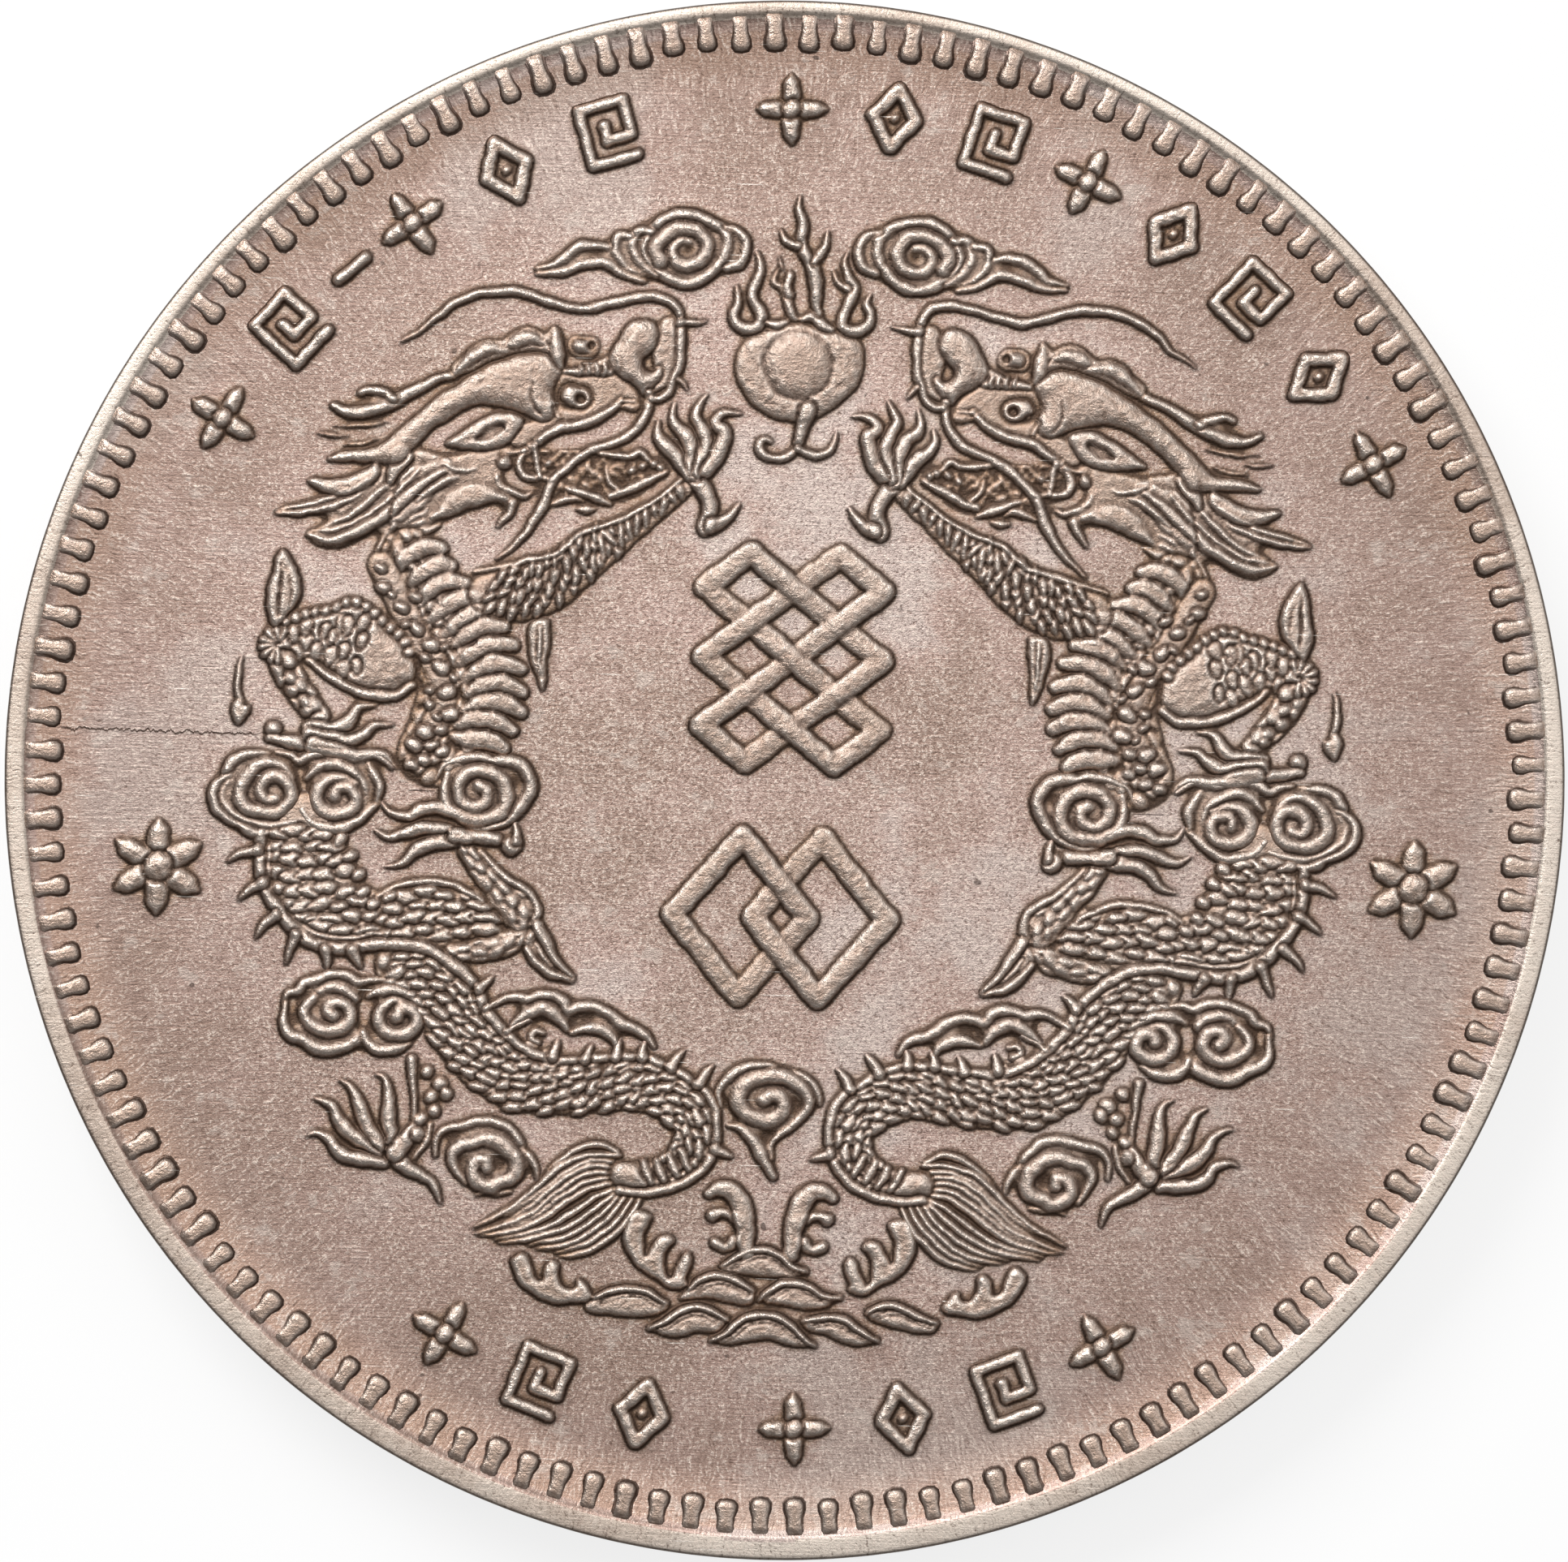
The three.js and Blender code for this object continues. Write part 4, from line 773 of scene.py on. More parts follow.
def draw_neck(cut):
    """The scaled neck and shoulder, with its belly plates."""
    cut.scales([-10.1, 5.6, -9.9, 4.9, -9.3, 4, -8.7, 3.1, -8.6, 2.2, -8.8, 1.2, -9.3, 0.4],
        [0.7, 0.95, 1.1, 1.1, 1.1, 1.1, 0.9], top=0.13, pitch=0.4, across=0.38, low=0.12, wander=2.2)
    plates = [
        [-10.4, 5.16, -10.1, 5.58, -9.62, 5.82, -9.2, 5.79],
        [-9.98, 4.86, -9.68, 5.16, -9.26, 5.37, -8.96, 5.34],
        [-9.86, 4.26, -9.56, 4.62, -9.14, 4.92, -8.54, 4.89],
        [-9.44, 3.9, -9.08, 4.26, -8.6, 4.5, -8.06, 4.53],
        [-9.08, 3.54, -8.72, 3.84, -8.3, 4.11, -7.88, 4.14],
        [-8.78, 3.3, -8.48, 3.57, -8, 3.78, -7.52, 3.81],
        [-8.66, 2.76, -8.3, 3.09, -7.82, 3.3, -7.25, 3.33],
        [-8.48, 2.34, -8.12, 2.64, -7.64, 2.82, -7.04, 2.7],
        [-8.42, 1.98, -8, 2.22, -7.52, 2.31, -6.98, 2.1],
        [-8.48, 1.56, -8.06, 1.77, -7.52, 1.8, -6.98, 1.59],
        [-8.66, 1.14, -8.24, 1.32, -7.7, 1.32, -7.22, 1.08],
        [-8.72, 0.84, -8.3, 0.81, -7.82, 0.78, -7.4, 0.6],
    ]
    cut.strands(plates, [0.12, 0.22, 0.25, 0.24, 0.18], top=[0.08, 0.16, 0.18, 0.17, 0.12],
        carry=0.1, moat=0.02, sink=0.0, crown=0.28)
    cut.strand([-10.8, 5.3, -10.3, 4.4, -9.85, 3.6, -9.35, 2.9, -9.05, 2, -9.15, 1.3, -9.6, 0.6], 0.36,
        top=0.07, carry=0.2)
    pebbles = [
        (-10.8, 5.22, 0.19), (-10.73, 4.73, 0.22), (-10.22, 4.2, 0.22), (-9.89, 4.5, 0.19),
        (-9.81, 3.67, 0.24), (-9.4, 3.24, 0.27), (-9.54, 2.9, 0.17), (-9.13, 2.66, 0.24),
        (-8.96, 2.01, 0.27), (-9.41, 2.05, 0.15), (-9.4, 1.68, 0.15), (-8.85, 1.43, 0.27),
        (-9.5, 0.97, 0.27), (-9.08, 1, 0.2), (-9.78, 0.61, 0.26), (-9.32, 0.6, 0.2),
        (-9.04, 0.45, 0.2), (-9.84, 0.08, 0.2), (-9.5, 0.22, 0.2), (-10.1, 3.75, 0.13),
        (-9.05, 3.2, 0.13), (-8.8, 2.42, 0.13), (-9.2, 1.35, 0.12), (-10.5, 4.55, 0.13),
    ]
    for x, y, size in pebbles:
        cut.scale_at((x, y), size * 0.85, size * 0.75, turn=cut.random.uniform(-0.8, 0.8), top=0.17)


def draw_left_arm(cut):
    """The foreleg that reaches down past the neck, with its open foot."""
    arm = [-13.7, 3.54, -13.16, 3.78, -12.32, 4.11, -11.96, 4.14, -11.66, 4.38, -11.24, 4.32, -10.82, 4.02,
        -10.58, 3.54, -10.16, 3.3, -9.86, 2.82, -9.83, 2.34, -10.1, 2.1, -10.52, 1.92, -11, 2.01, -11.48,
        2.22, -11.9, 2.46, -12.32, 2.7, -12.68, 2.82, -13.22, 2.7, -13.7, 2.7, -13.82, 3.06]
    cut.leaf(arm, top=0.15, bevel=0.5)
    cut.ovals([-13.1, 3.25, -12.6, 3.35, -11.8, 3.2, -11, 3.05], [0.4, 0.5, 0.8, 0.9], 0.37, 0.52, 0.25,
        0.17, turn=1.45, top=0.09, wander=0.05)
    top_edge = smooth([-13.25, 3.75, -12.6, 3.98, -12, 4.1, -11.5, 4.3, -11, 4.1, -10.55, 3.7, -10.1, 3.3,
        -9.9, 2.8])
    for place in top_edge[:: int(0.29 / BRUSH_STEP)]:
        cut.ball(place, 0.14, carry=0.1, moat=0.05)
    cut.strand([-12.62, 2.76, -12.08, 2.34, -11.6, 2.1, -11, 1.89, -10.28, 1.89, -9.86, 2.16],
        [0.06, 0.13, 0.14, 0.1])
    forearm = [-13.25, 2.6, -12.98, 2.1, -12.62, 1.68, -12.26, 1.22]
    cut.strand(forearm, [0.38, 0.36, 0.33, 0.3], top=0.11)
    cut.scales(forearm, [0.4, 0.38, 0.34, 0.3], pitch=0.34, across=0.36, turn=0.9, low=0.12, wander=2.0)
    for angle in np.linspace(-0.4, 3.2, 8):
        heel = np.array((-13.42, 3.1))
        ray = np.array((-math.sin(angle), math.cos(angle)))
        cut.strand([heel + 0.12 * ray, heel + 0.42 * ray], [0.06, 0.11], top=0.16, carry=0.2, moat=0.04)
    cut.leaf([-13.52, 3.58, -13.74, 4.05, -13.72, 4.6, -13.62, 5.1, -13.56, 5.4, -13.42, 5.66, -13.15, 5.38,
        -12.93, 4.95, -12.86, 4.6, -12.95, 4.25, -13.18, 3.92], 0.17, 0.16)
    cut.groove([-13.42, 3.9, -13.44, 4.4, -13.4, 4.9, -13.42, 5.25], [0.03, 0.06, 0.05, 0.01], 0.08)
    cut.groove([-13.15, 4.1, -13.12, 4.5, -13.2, 4.95], [0.02, 0.04, 0.02], 0.05)
    cut.ball((-13.46, 0.9), 0.22)
    cut.strand([-13.58, 0.66, -13.1, 0.6, -12.62, 0.54], [0.1, 0.18, 0.2])
    cut.strand([-12.5, 0.9, -11.84, 0.96, -11.48, 1.2, -11.24, 1.56, -10.79, 1.62],
        [0.24, 0.23, 0.2, 0.12, 0.03])
    cut.strand([-12.5, 0.75, -11.6, 0.66, -11.12, 0.84, -10.82, 1.08, -10.34, 1.14],
        [0.24, 0.22, 0.2, 0.12, 0.03])
    cut.strand([-12.4, 0.5, -11.36, 0.3, -10.82, 0.36, -10.52, 0.3, -10.22, 0],
        [0.24, 0.22, 0.18, 0.12, 0.03])


def draw_raised_leg(cut):
    """The foreleg that lifts its claws to the pearl."""
    leg = [-7.9, 4.65, -7.2, 4.7, -6.5, 4.95, -5.8, 5.4, -5.1, 5.95, -4.4, 6.42, -3.6, 7.02, -2.85, 7.62]
    half = [0.55, 0.78, 0.74, 0.62, 0.5, 0.38, 0.28, 0.22]
    cut.strand(leg, half, top=0.08, crown=0.4)
    cut.ovals(leg[:12], [0.92 * w for w in half[:6]], 0.27, 0.4, 0.24, 0.13, turn=0.95, top=0.17, wander=0.05)
    cut.plates(leg[8:], [0.85 * w for w in half[4:]], pitch=0.3, lean=0.1)
    cut.strand([-8.3, 5.2, -7.6, 5.38, -6.95, 5.58, -6.3, 5.72, -5.95, 5.95, -5.6, 6.28, -5.2, 6.45, -4.7,
        6.62, -4.2, 6.88, -3.7, 7.2, -3.2, 7.6, -2.95, 7.85], [0.05, 0.09, 0.09, 0.08, 0.07, 0.06])
    cut.strand([-2.7, 7.95, -2.45, 7.65, -2.24, 7.3, -2.2, 6.95, -2.28, 6.62],
        [0.24, 0.24, 0.22, 0.22, 0.26])
    cut.strand([-2.15, 6.62, -1.9, 6.72, -1.64, 6.92, -1.44, 7.25], [0.2, 0.16, 0.11, 0.03])
    toe = [0.03, 0.13, 0.2, 0.22, 0.18]
    cut.strand([-3.62, 9.36, -3.66, 9.03, -3.5, 8.74, -3.15, 8.46, -2.93, 8.18, -2.75, 7.92], toe)
    cut.strand([-3.19, 9.86, -3.27, 9.5, -3.18, 9.24, -2.92, 9.02, -2.74, 8.68, -2.66, 8.2, -2.6, 7.9], toe)
    cut.strand([-2.37, 10.08, -2.57, 9.75, -2.66, 9.48, -2.5, 9.18, -2.36, 8.85, -2.4, 8.4, -2.52, 8], toe)
    cut.strand([-1.42, 9.62, -1.77, 9.64, -2.04, 9.52, -2.13, 9.3, -1.9, 9.1, -1.96, 8.78, -2.08, 8.38,
        -2.32, 8.02], toe)


def draw_mane(cut):
    """Locks of hair behind the head."""
    cut.strands([
        [-12.6, 8.72, -12.2, 8.68, -11.75, 8.7],
        [-12.2, 8.93, -11.4, 8.96, -10.7, 9.1],
        [-11.9, 8.45, -11.4, 8.48, -11, 8.62],
    ], [0.02, 0.05, 0.02], moat=0.04)
    cut.strand([-8.95, 10.42, -9.4, 10.26, -9.98, 9.98, -10.49, 9.68, -10.93, 9.46, -11.45, 9.3, -11.92,
        9.32, -12.2, 9.46], [0.1, 0.13, 0.16, 0.18, 0.17, 0.1])
    cut.strand([-10.6, 9.68, -10.86, 9.84, -11.25, 9.9, -11.48, 9.82], [0.12, 0.14, 0.1])
    cut.leaf([-13.62, 6.6, -13.1, 6.8, -12.5, 6.95, -12, 7.15, -11.5, 7.4, -11, 7.75, -10.5, 8.1, -9.9, 8.4,
        -9.2, 8.2, -8.8, 7.9, -9.3, 7.4, -9.7, 6.9, -10.3, 6.45, -11, 6.2, -11.5, 5.9, -12, 5.72, -12.5,
        5.8, -12.78, 6.08, -12.3, 6.3, -12, 6.6, -12.6, 6.6, -13.2, 6.5], 0.09, 0.16)
    cut.strands([
        [-13.6, 6.62, -13.1, 6.78, -12.5, 6.92, -11.9, 7.12, -11.4, 7.38, -10.95, 7.7],
        [-13.62, 6.56, -13.1, 6.6, -12.5, 6.72, -12, 6.88, -11.55, 7.08, -11.1, 7.4],
        [-12.5, 6.22, -12.1, 6.36, -11.6, 6.62, -11.2, 6.95, -10.8, 7.32, -10.4, 7.72, -10.1, 8.1],
        [-12.62, 6.14, -12, 6.18, -11.5, 6.4, -11, 6.72, -10.6, 7.05, -10.2, 7.45, -9.9, 7.82],
    ], [0.02, 0.08, 0.1, 0.09, 0.05], carry=0.6)
    cut.strand([-12.76, 6.05, -12.2, 5.9, -11.7, 6.05, -11.2, 6.32, -10.8, 6.58, -10.4, 6.9, -10, 7.25,
        -9.6, 7.6, -9.2, 7.85], [0.03, 0.14, 0.18, 0.17, 0.15, 0.08], carry=0.5)
    cut.strand([-9.9, 7, -9.55, 7.3, -9.2, 7.55, -8.85, 7.7], [0.03, 0.1, 0.12, 0.05], carry=0.6)
    cut.strand([-9.35, 8.06, -9, 7.92, -8.65, 7.86, -8.35, 7.92], [0.02, 0.07, 0.08, 0.03])
    cut.strand([-10.98, 5.5, -10.82, 5.8, -10.6, 6.12, -10.45, 6.38], [0.03, 0.09, 0.1, 0.06])
    cut.strand([-10.85, 5.6, -10.5, 5.95, -10.1, 6.05, -9.7, 6.2, -9.25, 6.4],
        [0.04, 0.12, 0.14, 0.12, 0.04])
    cut.strands([
        [-10.2, 6.42, -9.9, 6.62, -9.62, 6.78],
        [-10.1, 6.28, -9.8, 6.45, -9.5, 6.55],
    ], [0.02, 0.06, 0.03])
    cut.leaf([-10.3, 7.73, -9.42, 8.11, -8.48, 8.36, -7.47, 8.48, -7.6, 8.05, -7.74, 7.75, -7.91, 7.47,
        -8.45, 7.41, -9.03, 7.17, -9.5, 6.8, -9.72, 6.38, -10.4, 6.2, -10.6, 6.4], 0.07, 0.12, carry=0.8)
    cut.leaf([-9.55, 6.52, -9.35, 6.95, -9.1, 7.27, -8.75, 7.48, -8.3, 7.58, -7.85, 7.46, -7.45, 7.2, -7.5,
        7.05, -7.8, 7.05, -8.2, 6.95, -8.6, 6.82, -9.05, 6.62], 0.16, 0.3)
    cut.strand([-7.82, 7.75, -7.72, 7.5, -7.42, 7.36, -7.1, 7.24, -6.88, 7.34],
        [0.05, 0.1, 0.1, 0.09, 0.03])
    cut.strand([-7.36, 7.05, -7.5, 6.75, -7.76, 6.38], [0.12, 0.1, 0.03])


def draw_face(cut):
    """The skull, the brows, the bridge and the nose."""
    cut.leaf([-6.2, 10.6, -5.6, 10.62, -5, 10.7, -4.6, 10.42, -4.2, 10.05, -4.1, 9.7, -4.3, 9.55, -4.7, 9.6,
        -5.2, 9.25, -5.9, 9, -6.5, 8.75, -7, 8.5, -7.5, 8.6, -7.3, 9.1, -6.8, 9.3, -6.5, 9.9, -6.35, 10.3],
        0.06, 0.12)
    cut.leaf([-10.98, 8.02, -11.25, 7.86, -11.65, 7.64, -12.1, 7.53, -12.78, 7.48, -12.5, 7.22, -12, 7.08,
        -11.5, 7.17, -11.1, 7.42, -10.88, 7.75], 0.16, 0.22)
    cut.strand([-10.32, 8.2, -10.5, 7.85, -10.62, 7.55], [0.3, 0.22, 0.13])
    cut.leaf([-6.18, 10.62, -6.45, 10.98, -6.9, 11.02, -7.4, 10.93, -7.9, 10.76, -8.4, 10.5, -9, 10.12,
        -9.5, 9.76, -10, 9.3, -10.6, 8.76, -11, 8.42, -11.5, 8.33, -12, 8.24, -12.3, 8.03, -11.8, 7.98,
        -11.25, 7.98, -10.75, 7.93, -10.38, 8, -10.1, 8.3, -9.8, 8.66, -9.4, 9.02, -9, 9.3, -8.6, 9.53,
        -8.1, 9.6, -7.5, 9.5, -7, 9.33, -6.68, 9.2, -6.4, 9.33, -6.3, 9.62, -6.42, 9.95, -6.36, 10.25],
        0.19, 0.5)
    cut.groove([-6.92, 10.22, -6.98, 9.88, -6.92, 9.6, -6.66, 9.32], [0.02, 0.035, 0.04, 0.02], 0.06)
    cut.groove([-8.02, 10.42, -8.3, 10.22, -8.5, 9.95], [0.02, 0.03, 0.01], 0.035)
    cut.groove([-9.2, 9.6, -9.7, 9.18, -10.2, 8.7], [0.01, 0.025, 0.01], 0.03)
    cut.leaf([-6.42, 11.75, -6.68, 11.56, -7.1, 11.68, -7.5, 11.56, -7.8, 11.36, -8.2, 11.34, -8.6, 11.16,
        -8.86, 10.88, -9.12, 10.6, -9.02, 10.36, -8.6, 10.46, -8.2, 10.7, -7.7, 10.9, -7.1, 11.04, -6.7,
        11.02, -6.4, 10.75, -6.15, 10.55, -6.16, 11, -6.22, 11.42], 0.12, 0.3)
    cut.strands([
        [-6.7, 11.3, -7.05, 11.38, -7.4, 11.3, -7.7, 11.08],
        [-7.65, 11.05, -8.1, 11.08, -8.5, 10.9, -8.95, 10.5],
        [-6.42, 11.55, -6.38, 11.2, -6.34, 10.9, -6.24, 10.66],
    ], [0.1, 0.2, 0.21, 0.09], top=[0.1, 0.16, 0.17, 0.1], carry=0.15, sink=1)
    cut.leaf([-6.15, 10.58, -5.9, 10.68, -5.5, 10.74, -5.2, 10.9, -4.9, 11, -4.78, 10.7, -4.85, 10.5, -5.4,
        10.47, -6.1, 10.46], 0.11, 0.1)
    for x in (-5.72, -5.5, -5.28, -5.08):
        cut.strand([(x - 0.03, 10.76 + 0.1 * (x + 5.7)), (x + 0.04, 10.62), (x, 10.5)], [0.02, 0.07, 0.04],
                   top=0.15, moat=0.04)
    cut.leaf([-3.6, 12, -3.2, 11.95, -3.12, 11.2, -3.2, 10.5, -3.5, 10.2, -3.9, 10.1, -3.8, 10.8, -3.9,
        11.4], 0.09, 0.15)
    cut.leaf([-4.98, 11, -4.8, 11.42, -4.5, 11.84, -4.2, 11.99, -3.86, 11.97, -3.7, 11.7, -3.72, 11.38,
        -3.92, 11.1, -4.08, 10.92, -4.02, 10.7, -3.84, 10.64, -3.64, 10.78, -3.56, 10.55, -3.74, 10.25,
        -4.02, 10, -4.32, 10.25, -4.7, 10.48, -4.94, 10.74], 0.205, 0.45, carry=0.1)
    cut.strand([-4.3, 11.62, -4.42, 11.3, -4.42, 10.95, -4.12, 10.35], [0.06, 0.2, 0.22, 0.12],
        top=[0.02, 0.04, 0.04, 0.02], carry=1, sink=1)
    cut.strand([-4.78, 10.95, -4.7, 10.72], [0.06, 0.09], top=0.05, carry=0.8, sink=1)


def draw_eyes(cut):
    """Both round eyes, each with a hollow pupil."""
    cut.strand([-5.79, 11.23, -5.52, 11.23], 0.3, top=0.11, carry=0)
    cut.groove([-5.79, 11.23, -5.52, 11.23], 0.24, 0.05)
    cut.strand([-5.76, 11.23, -5.5, 11.24], 0.2, top=0.17, carry=0)
    cut.pit((-5.43, 11.25), 0.15, 0.2)
    cut.groove([-6.02, 9.92, -5.7, 9.88], 0.42, 0.06)
    cut.strand([-5.95, 9.92, -5.7, 9.88], 0.28, top=0.18, carry=0, sink=0.0)
    cut.pit((-5.68, 9.87), 0.15, 0.2)
    cut.groove([-6.22, 9.82, -6.05, 9.75, -5.95, 9.62], [0.03, 0.05, 0.02], 0.08)


def draw_ear(cut):
    """The almond-shaped ear with its hollow."""
    cut.leaf([-9.22, 8.55, -8.72, 8.95, -8.3, 9.22, -7.92, 9.4, -7.5, 9.42, -7.18, 9.27, -7.3, 8.95, -7.5,
        8.66, -7.8, 8.48, -8.3, 8.4, -8.8, 8.43], 0.16, 0.2)
    cut.groove([-8.35, 8.72, -8.05, 8.88, -7.75, 9.05], [0.06, 0.2, 0.13], 0.1)


def draw_mouth(cut):
    """The jaws, the teeth and the tongue."""
    cut.rough([-7.2, 8.45, -6.2, 8.5, -5.4, 8.5, -4.4, 8.45, -3.6, 8.25, -3.3, 8, -4.7, 7.25, -5.6, 7.3,
        -6.4, 7.1, -6.8, 7.6], 0.022, 0.05)
    cut.strand([-4.62, 9.86, -4.8, 9.65, -5.2, 9.36, -5.7, 9.16, -6.2, 9.06, -6.5, 8.86, -6.85, 8.6, -7.08,
        8.42], [0.08, 0.13, 0.14, 0.13, 0.12])
    cut.strand([-4.64, 9.82, -4.2, 9.83], [0.05, 0.03])
    cut.strand([-6.36, 9.6, -6.22, 9.3], [0.03, 0.05])
    cut.strand([-7.12, 8.45, -7.25, 8.12, -7.2, 7.86, -7, 7.73, -6.62, 7.73, -6.3, 7.7],
        [0.08, 0.1, 0.1, 0.09, 0.05])
    cut.strand([-6.86, 8.56, -6.8, 8.3, -6.76, 7.98, -6.68, 7.76], [0.09, 0.09, 0.08])
    cut.pit((-6.98, 8.02), 0.1, 0.05)
    cut.strand([-7.78, 8.33, -7.4, 8.36, -7.1, 8.46], [0.02, 0.05, 0.06])
    cut.ball((-7.62, 8.1), 0.17)
    cut.ball((-6.48, 8.12), 0.09)
    cut.strand([-5.3, 8.45, -4.95, 8.42, -4.55, 8.38, -4.3, 8.4, -4.1, 8.5, -3.85, 8.3, -3.42, 8.02],
        [0.06, 0.09, 0.09, 0.03])
    cut.strand([-5.97, 7.5, -5.6, 7.4, -5.2, 7.25, -4.83, 7.1], [0.06, 0.13, 0.13, 0.06])
    cut.strand([-4.96, 8.1, -4.86, 7.72, -4.62, 7.46], [0.03, 0.08, 0.08])
    cut.strand([-4.82, 7.3, -4.5, 7.42, -4.05, 7.65, -3.65, 7.85, -3.38, 8], [0.1, 0.12, 0.12, 0.06])
    for tooth in ((-4.3, 8.02), (-4.02, 8.14), (-3.72, 8.2), (-3.55, 8.1)):
        cut.ball(tooth, 0.1)
    cut.strand([-5.68, 6.95, -5.4, 6.94, -5.18, 6.97], [0.05, 0.11, 0.03])
    cut.strand([-6.36, 7.05, -6, 7.2, -5.74, 7.25, -5.55, 7.15], [0.05, 0.09, 0.09, 0.03])


def draw_whiskers(cut):
    """The two long whiskers."""
    cut.strand([-3.9, 10.05, -3.94, 9.6, -4.14, 9.2, -4.5, 8.86, -5, 8.66, -5.36, 8.5, -5.8, 8.2, -6.2,
        7.82, -6.42, 7.55, -6.52, 7.2, -6.7, 6.8, -7, 6.32, -7.4, 5.88, -7.78, 5.58],
        [0.11, 0.13, 0.12, 0.12, 0.13, 0.14, 0.1, 0.03])
    cut.strand([-3.85, 9.9, -3.6, 9.92, -3.4, 10.1, -3.26, 10.42, -3.14, 10.8, -3.1, 11.3, -3.12, 11.89,
        -3.22, 12.25, -3.45, 12.52, -3.85, 12.62, -4.33, 12.56, -5.07, 12.38, -5.8, 12.22, -6.46, 12.34,
        -7.05, 12.54, -7.63, 12.62, -8.3, 12.56, -8.9, 12.35, -9.4, 12, -9.85, 11.58, -10.46, 11.21],
        [0.1, 0.12, 0.12, 0.12, 0.13, 0.13, 0.11, 0.03])
    cut.strand([-3.15, 11.92, -2.8, 11.95, -2.4, 12.02], [0.12, 0.08, 0.02])
    cut.strand([-3.12, 10.45, -2.98, 10.3, -2.86, 10.12], [0.07, 0.05, 0.02])


def draw_head(cut):
    """The whole head, from the mane forwards."""
    draw_face(cut)
    draw_eyes(cut)
    draw_ear(cut)
    draw_mouth(cut)
    draw_whiskers(cut)


def cut_forequarters():
    """The front half of a dragon."""
    cut = Relief((-13.9, 0.0), (-1.2, 12.9))
    draw_mane(cut)
    cut.web(0.06, 0.2)
    draw_neck(cut)
    draw_left_arm(cut)
    draw_raised_leg(cut)
    draw_head(cut)
    return cut


# The dragons' bodies, hind legs and tails


def draw_upper_body(cut):
    """The broad back with its large scales, as far as the thigh."""
    back = [-12.55, -1.7, -12.5, -2.6, -12.3, -3.3, -11.7, -3.85, -10.8, -4, -9.8, -4, -8.8, -3.9, -7.9,
        -3.8]
    cut.strand(back, [0.95, 1.05, 1.05, 0.95, 0.75, 0.85, 0.8, 0.5], top=0.09, crown=0.4)
    rows = [
        (4, -13.25, -1.85, -12, -1.75), (4, -13.3, -2.22, -11.8, -2.15), (5, -13.35, -2.58, -11.6, -2.5),
        (5, -13.35, -2.95, -11.5, -2.88), (5, -13.3, -3.3, -11.4, -3.25), (5, -13, -3.68, -11.1, -3.62),
        (6, -12.6, -4.05, -10.4, -3.98), (4, -12.1, -4.35, -10.2, -4.3), (4, -9.9, -3.35, -8.2, -3.3),
        (5, -10.15, -3.68, -7.9, -3.62), (6, -10.1, -4.02, -7.7, -3.95), (5, -9.8, -4.35, -7.8, -4.28),
    ]
    for count, *ends in rows:
        first, last = pairs(ends)
        for share in np.linspace(0, 1, count):
            place = first * (1 - share) + last * share + cut.random.normal(0, 0.06, 2)
            cut.scale_at(place, cut.random.uniform(0.24, 0.42), cut.random.uniform(0.15, 0.21),
                turn=cut.random.uniform(-0.15, 0.3), top=cut.random.uniform(0.12, 0.17))
    beside = [-11.62, -1.95, -11.38, -2.38, -11.12, -2.85, -11, -3.3, -10.72, -3.62, -10.3, -3.4]
    for place in pairs(beside):
        cut.scale_at(place, 0.18, 0.16, turn=0.6)
    cut.strand([-10.6, -3.4, -10.3, -3.2, -9.7, -3.02, -9.2, -2.95, -8.7, -3.02, -8.2, -3.22, -7.85, -3.42],
        [0.05, 0.1, 0.1, 0.08])
    cut.scales([-8.55, -4.85, -7.9, -4.75, -7.2, -4.55, -6.55, -4.15], [0.25, 0.3, 0.32, 0.2], pitch=0.42,
        across=0.3)


def draw_hind_leg(cut):
    """The hind leg with its foot under the clouds, its knee and its spur."""
    cut.scales([-8.3, -2.15, -7.95, -2.55, -7.55, -2.95, -7.1, -3.35, -6.85, -3.75],
        [0.24, 0.3, 0.36, 0.5, 0.45], pitch=0.38, across=0.34)
    cut.strand([-7.95, -2.1, -7.55, -2.5, -7.2, -2.82, -6.8, -3.05, -6.5, -3.3, -6.38, -3.7, -6.5, -4.05],
        [0.06, 0.1, 0.12, 0.1])
    cut.leaf([-6.74, -4.6, -6.38, -4.05, -6, -4.58, -5.65, -5, -5.3, -5.38, -5.47, -5.53, -5.91, -5.42,
        -6.35, -5.08], 0.09, 0.12)
    cut.strand([-6.35, -4.05, -6.1, -4.5, -5.8, -5, -5.4, -5.35], [0.16, 0.16, 0.13, 0.05])
    cut.strand([-6.65, -4.65, -6.4, -4.98, -5.98, -5.28, -5.5, -5.45], [0.08, 0.13, 0.13, 0.05])
    cut.strand([-6.4, -4.5, -6.1, -4.95, -5.8, -5.2], [0.04, 0.07, 0.03])
    claw = [0.03, 0.12, 0.19, 0.2, 0.16]
    cut.strand([-10.55, -0.92, -10.3, -1.2, -9.85, -1.27, -9.5, -1.07, -9, -1.02, -8.35, -1.28], claw)
    cut.strand([-10.75, -1.64, -10.4, -1.83, -10, -1.75, -9.5, -1.57, -9, -1.6, -8.5, -1.7], claw)
    cut.strand([-10.45, -2.62, -10.1, -2.56, -9.85, -2.4, -9.6, -2.12, -9.2, -1.95, -8.7, -1.9, -8.3,
        -1.85], claw)
    cut.strand([-8.6, -1.74, -8, -1.78, -7.5, -1.78], [0.22, 0.18, 0.18])
    cut.ball((-7.1, -1.95), 0.26)
    cut.strand([-6.98, -1.85, -7, -1.6, -7.08, -1.3], [0.14, 0.11, 0.03])


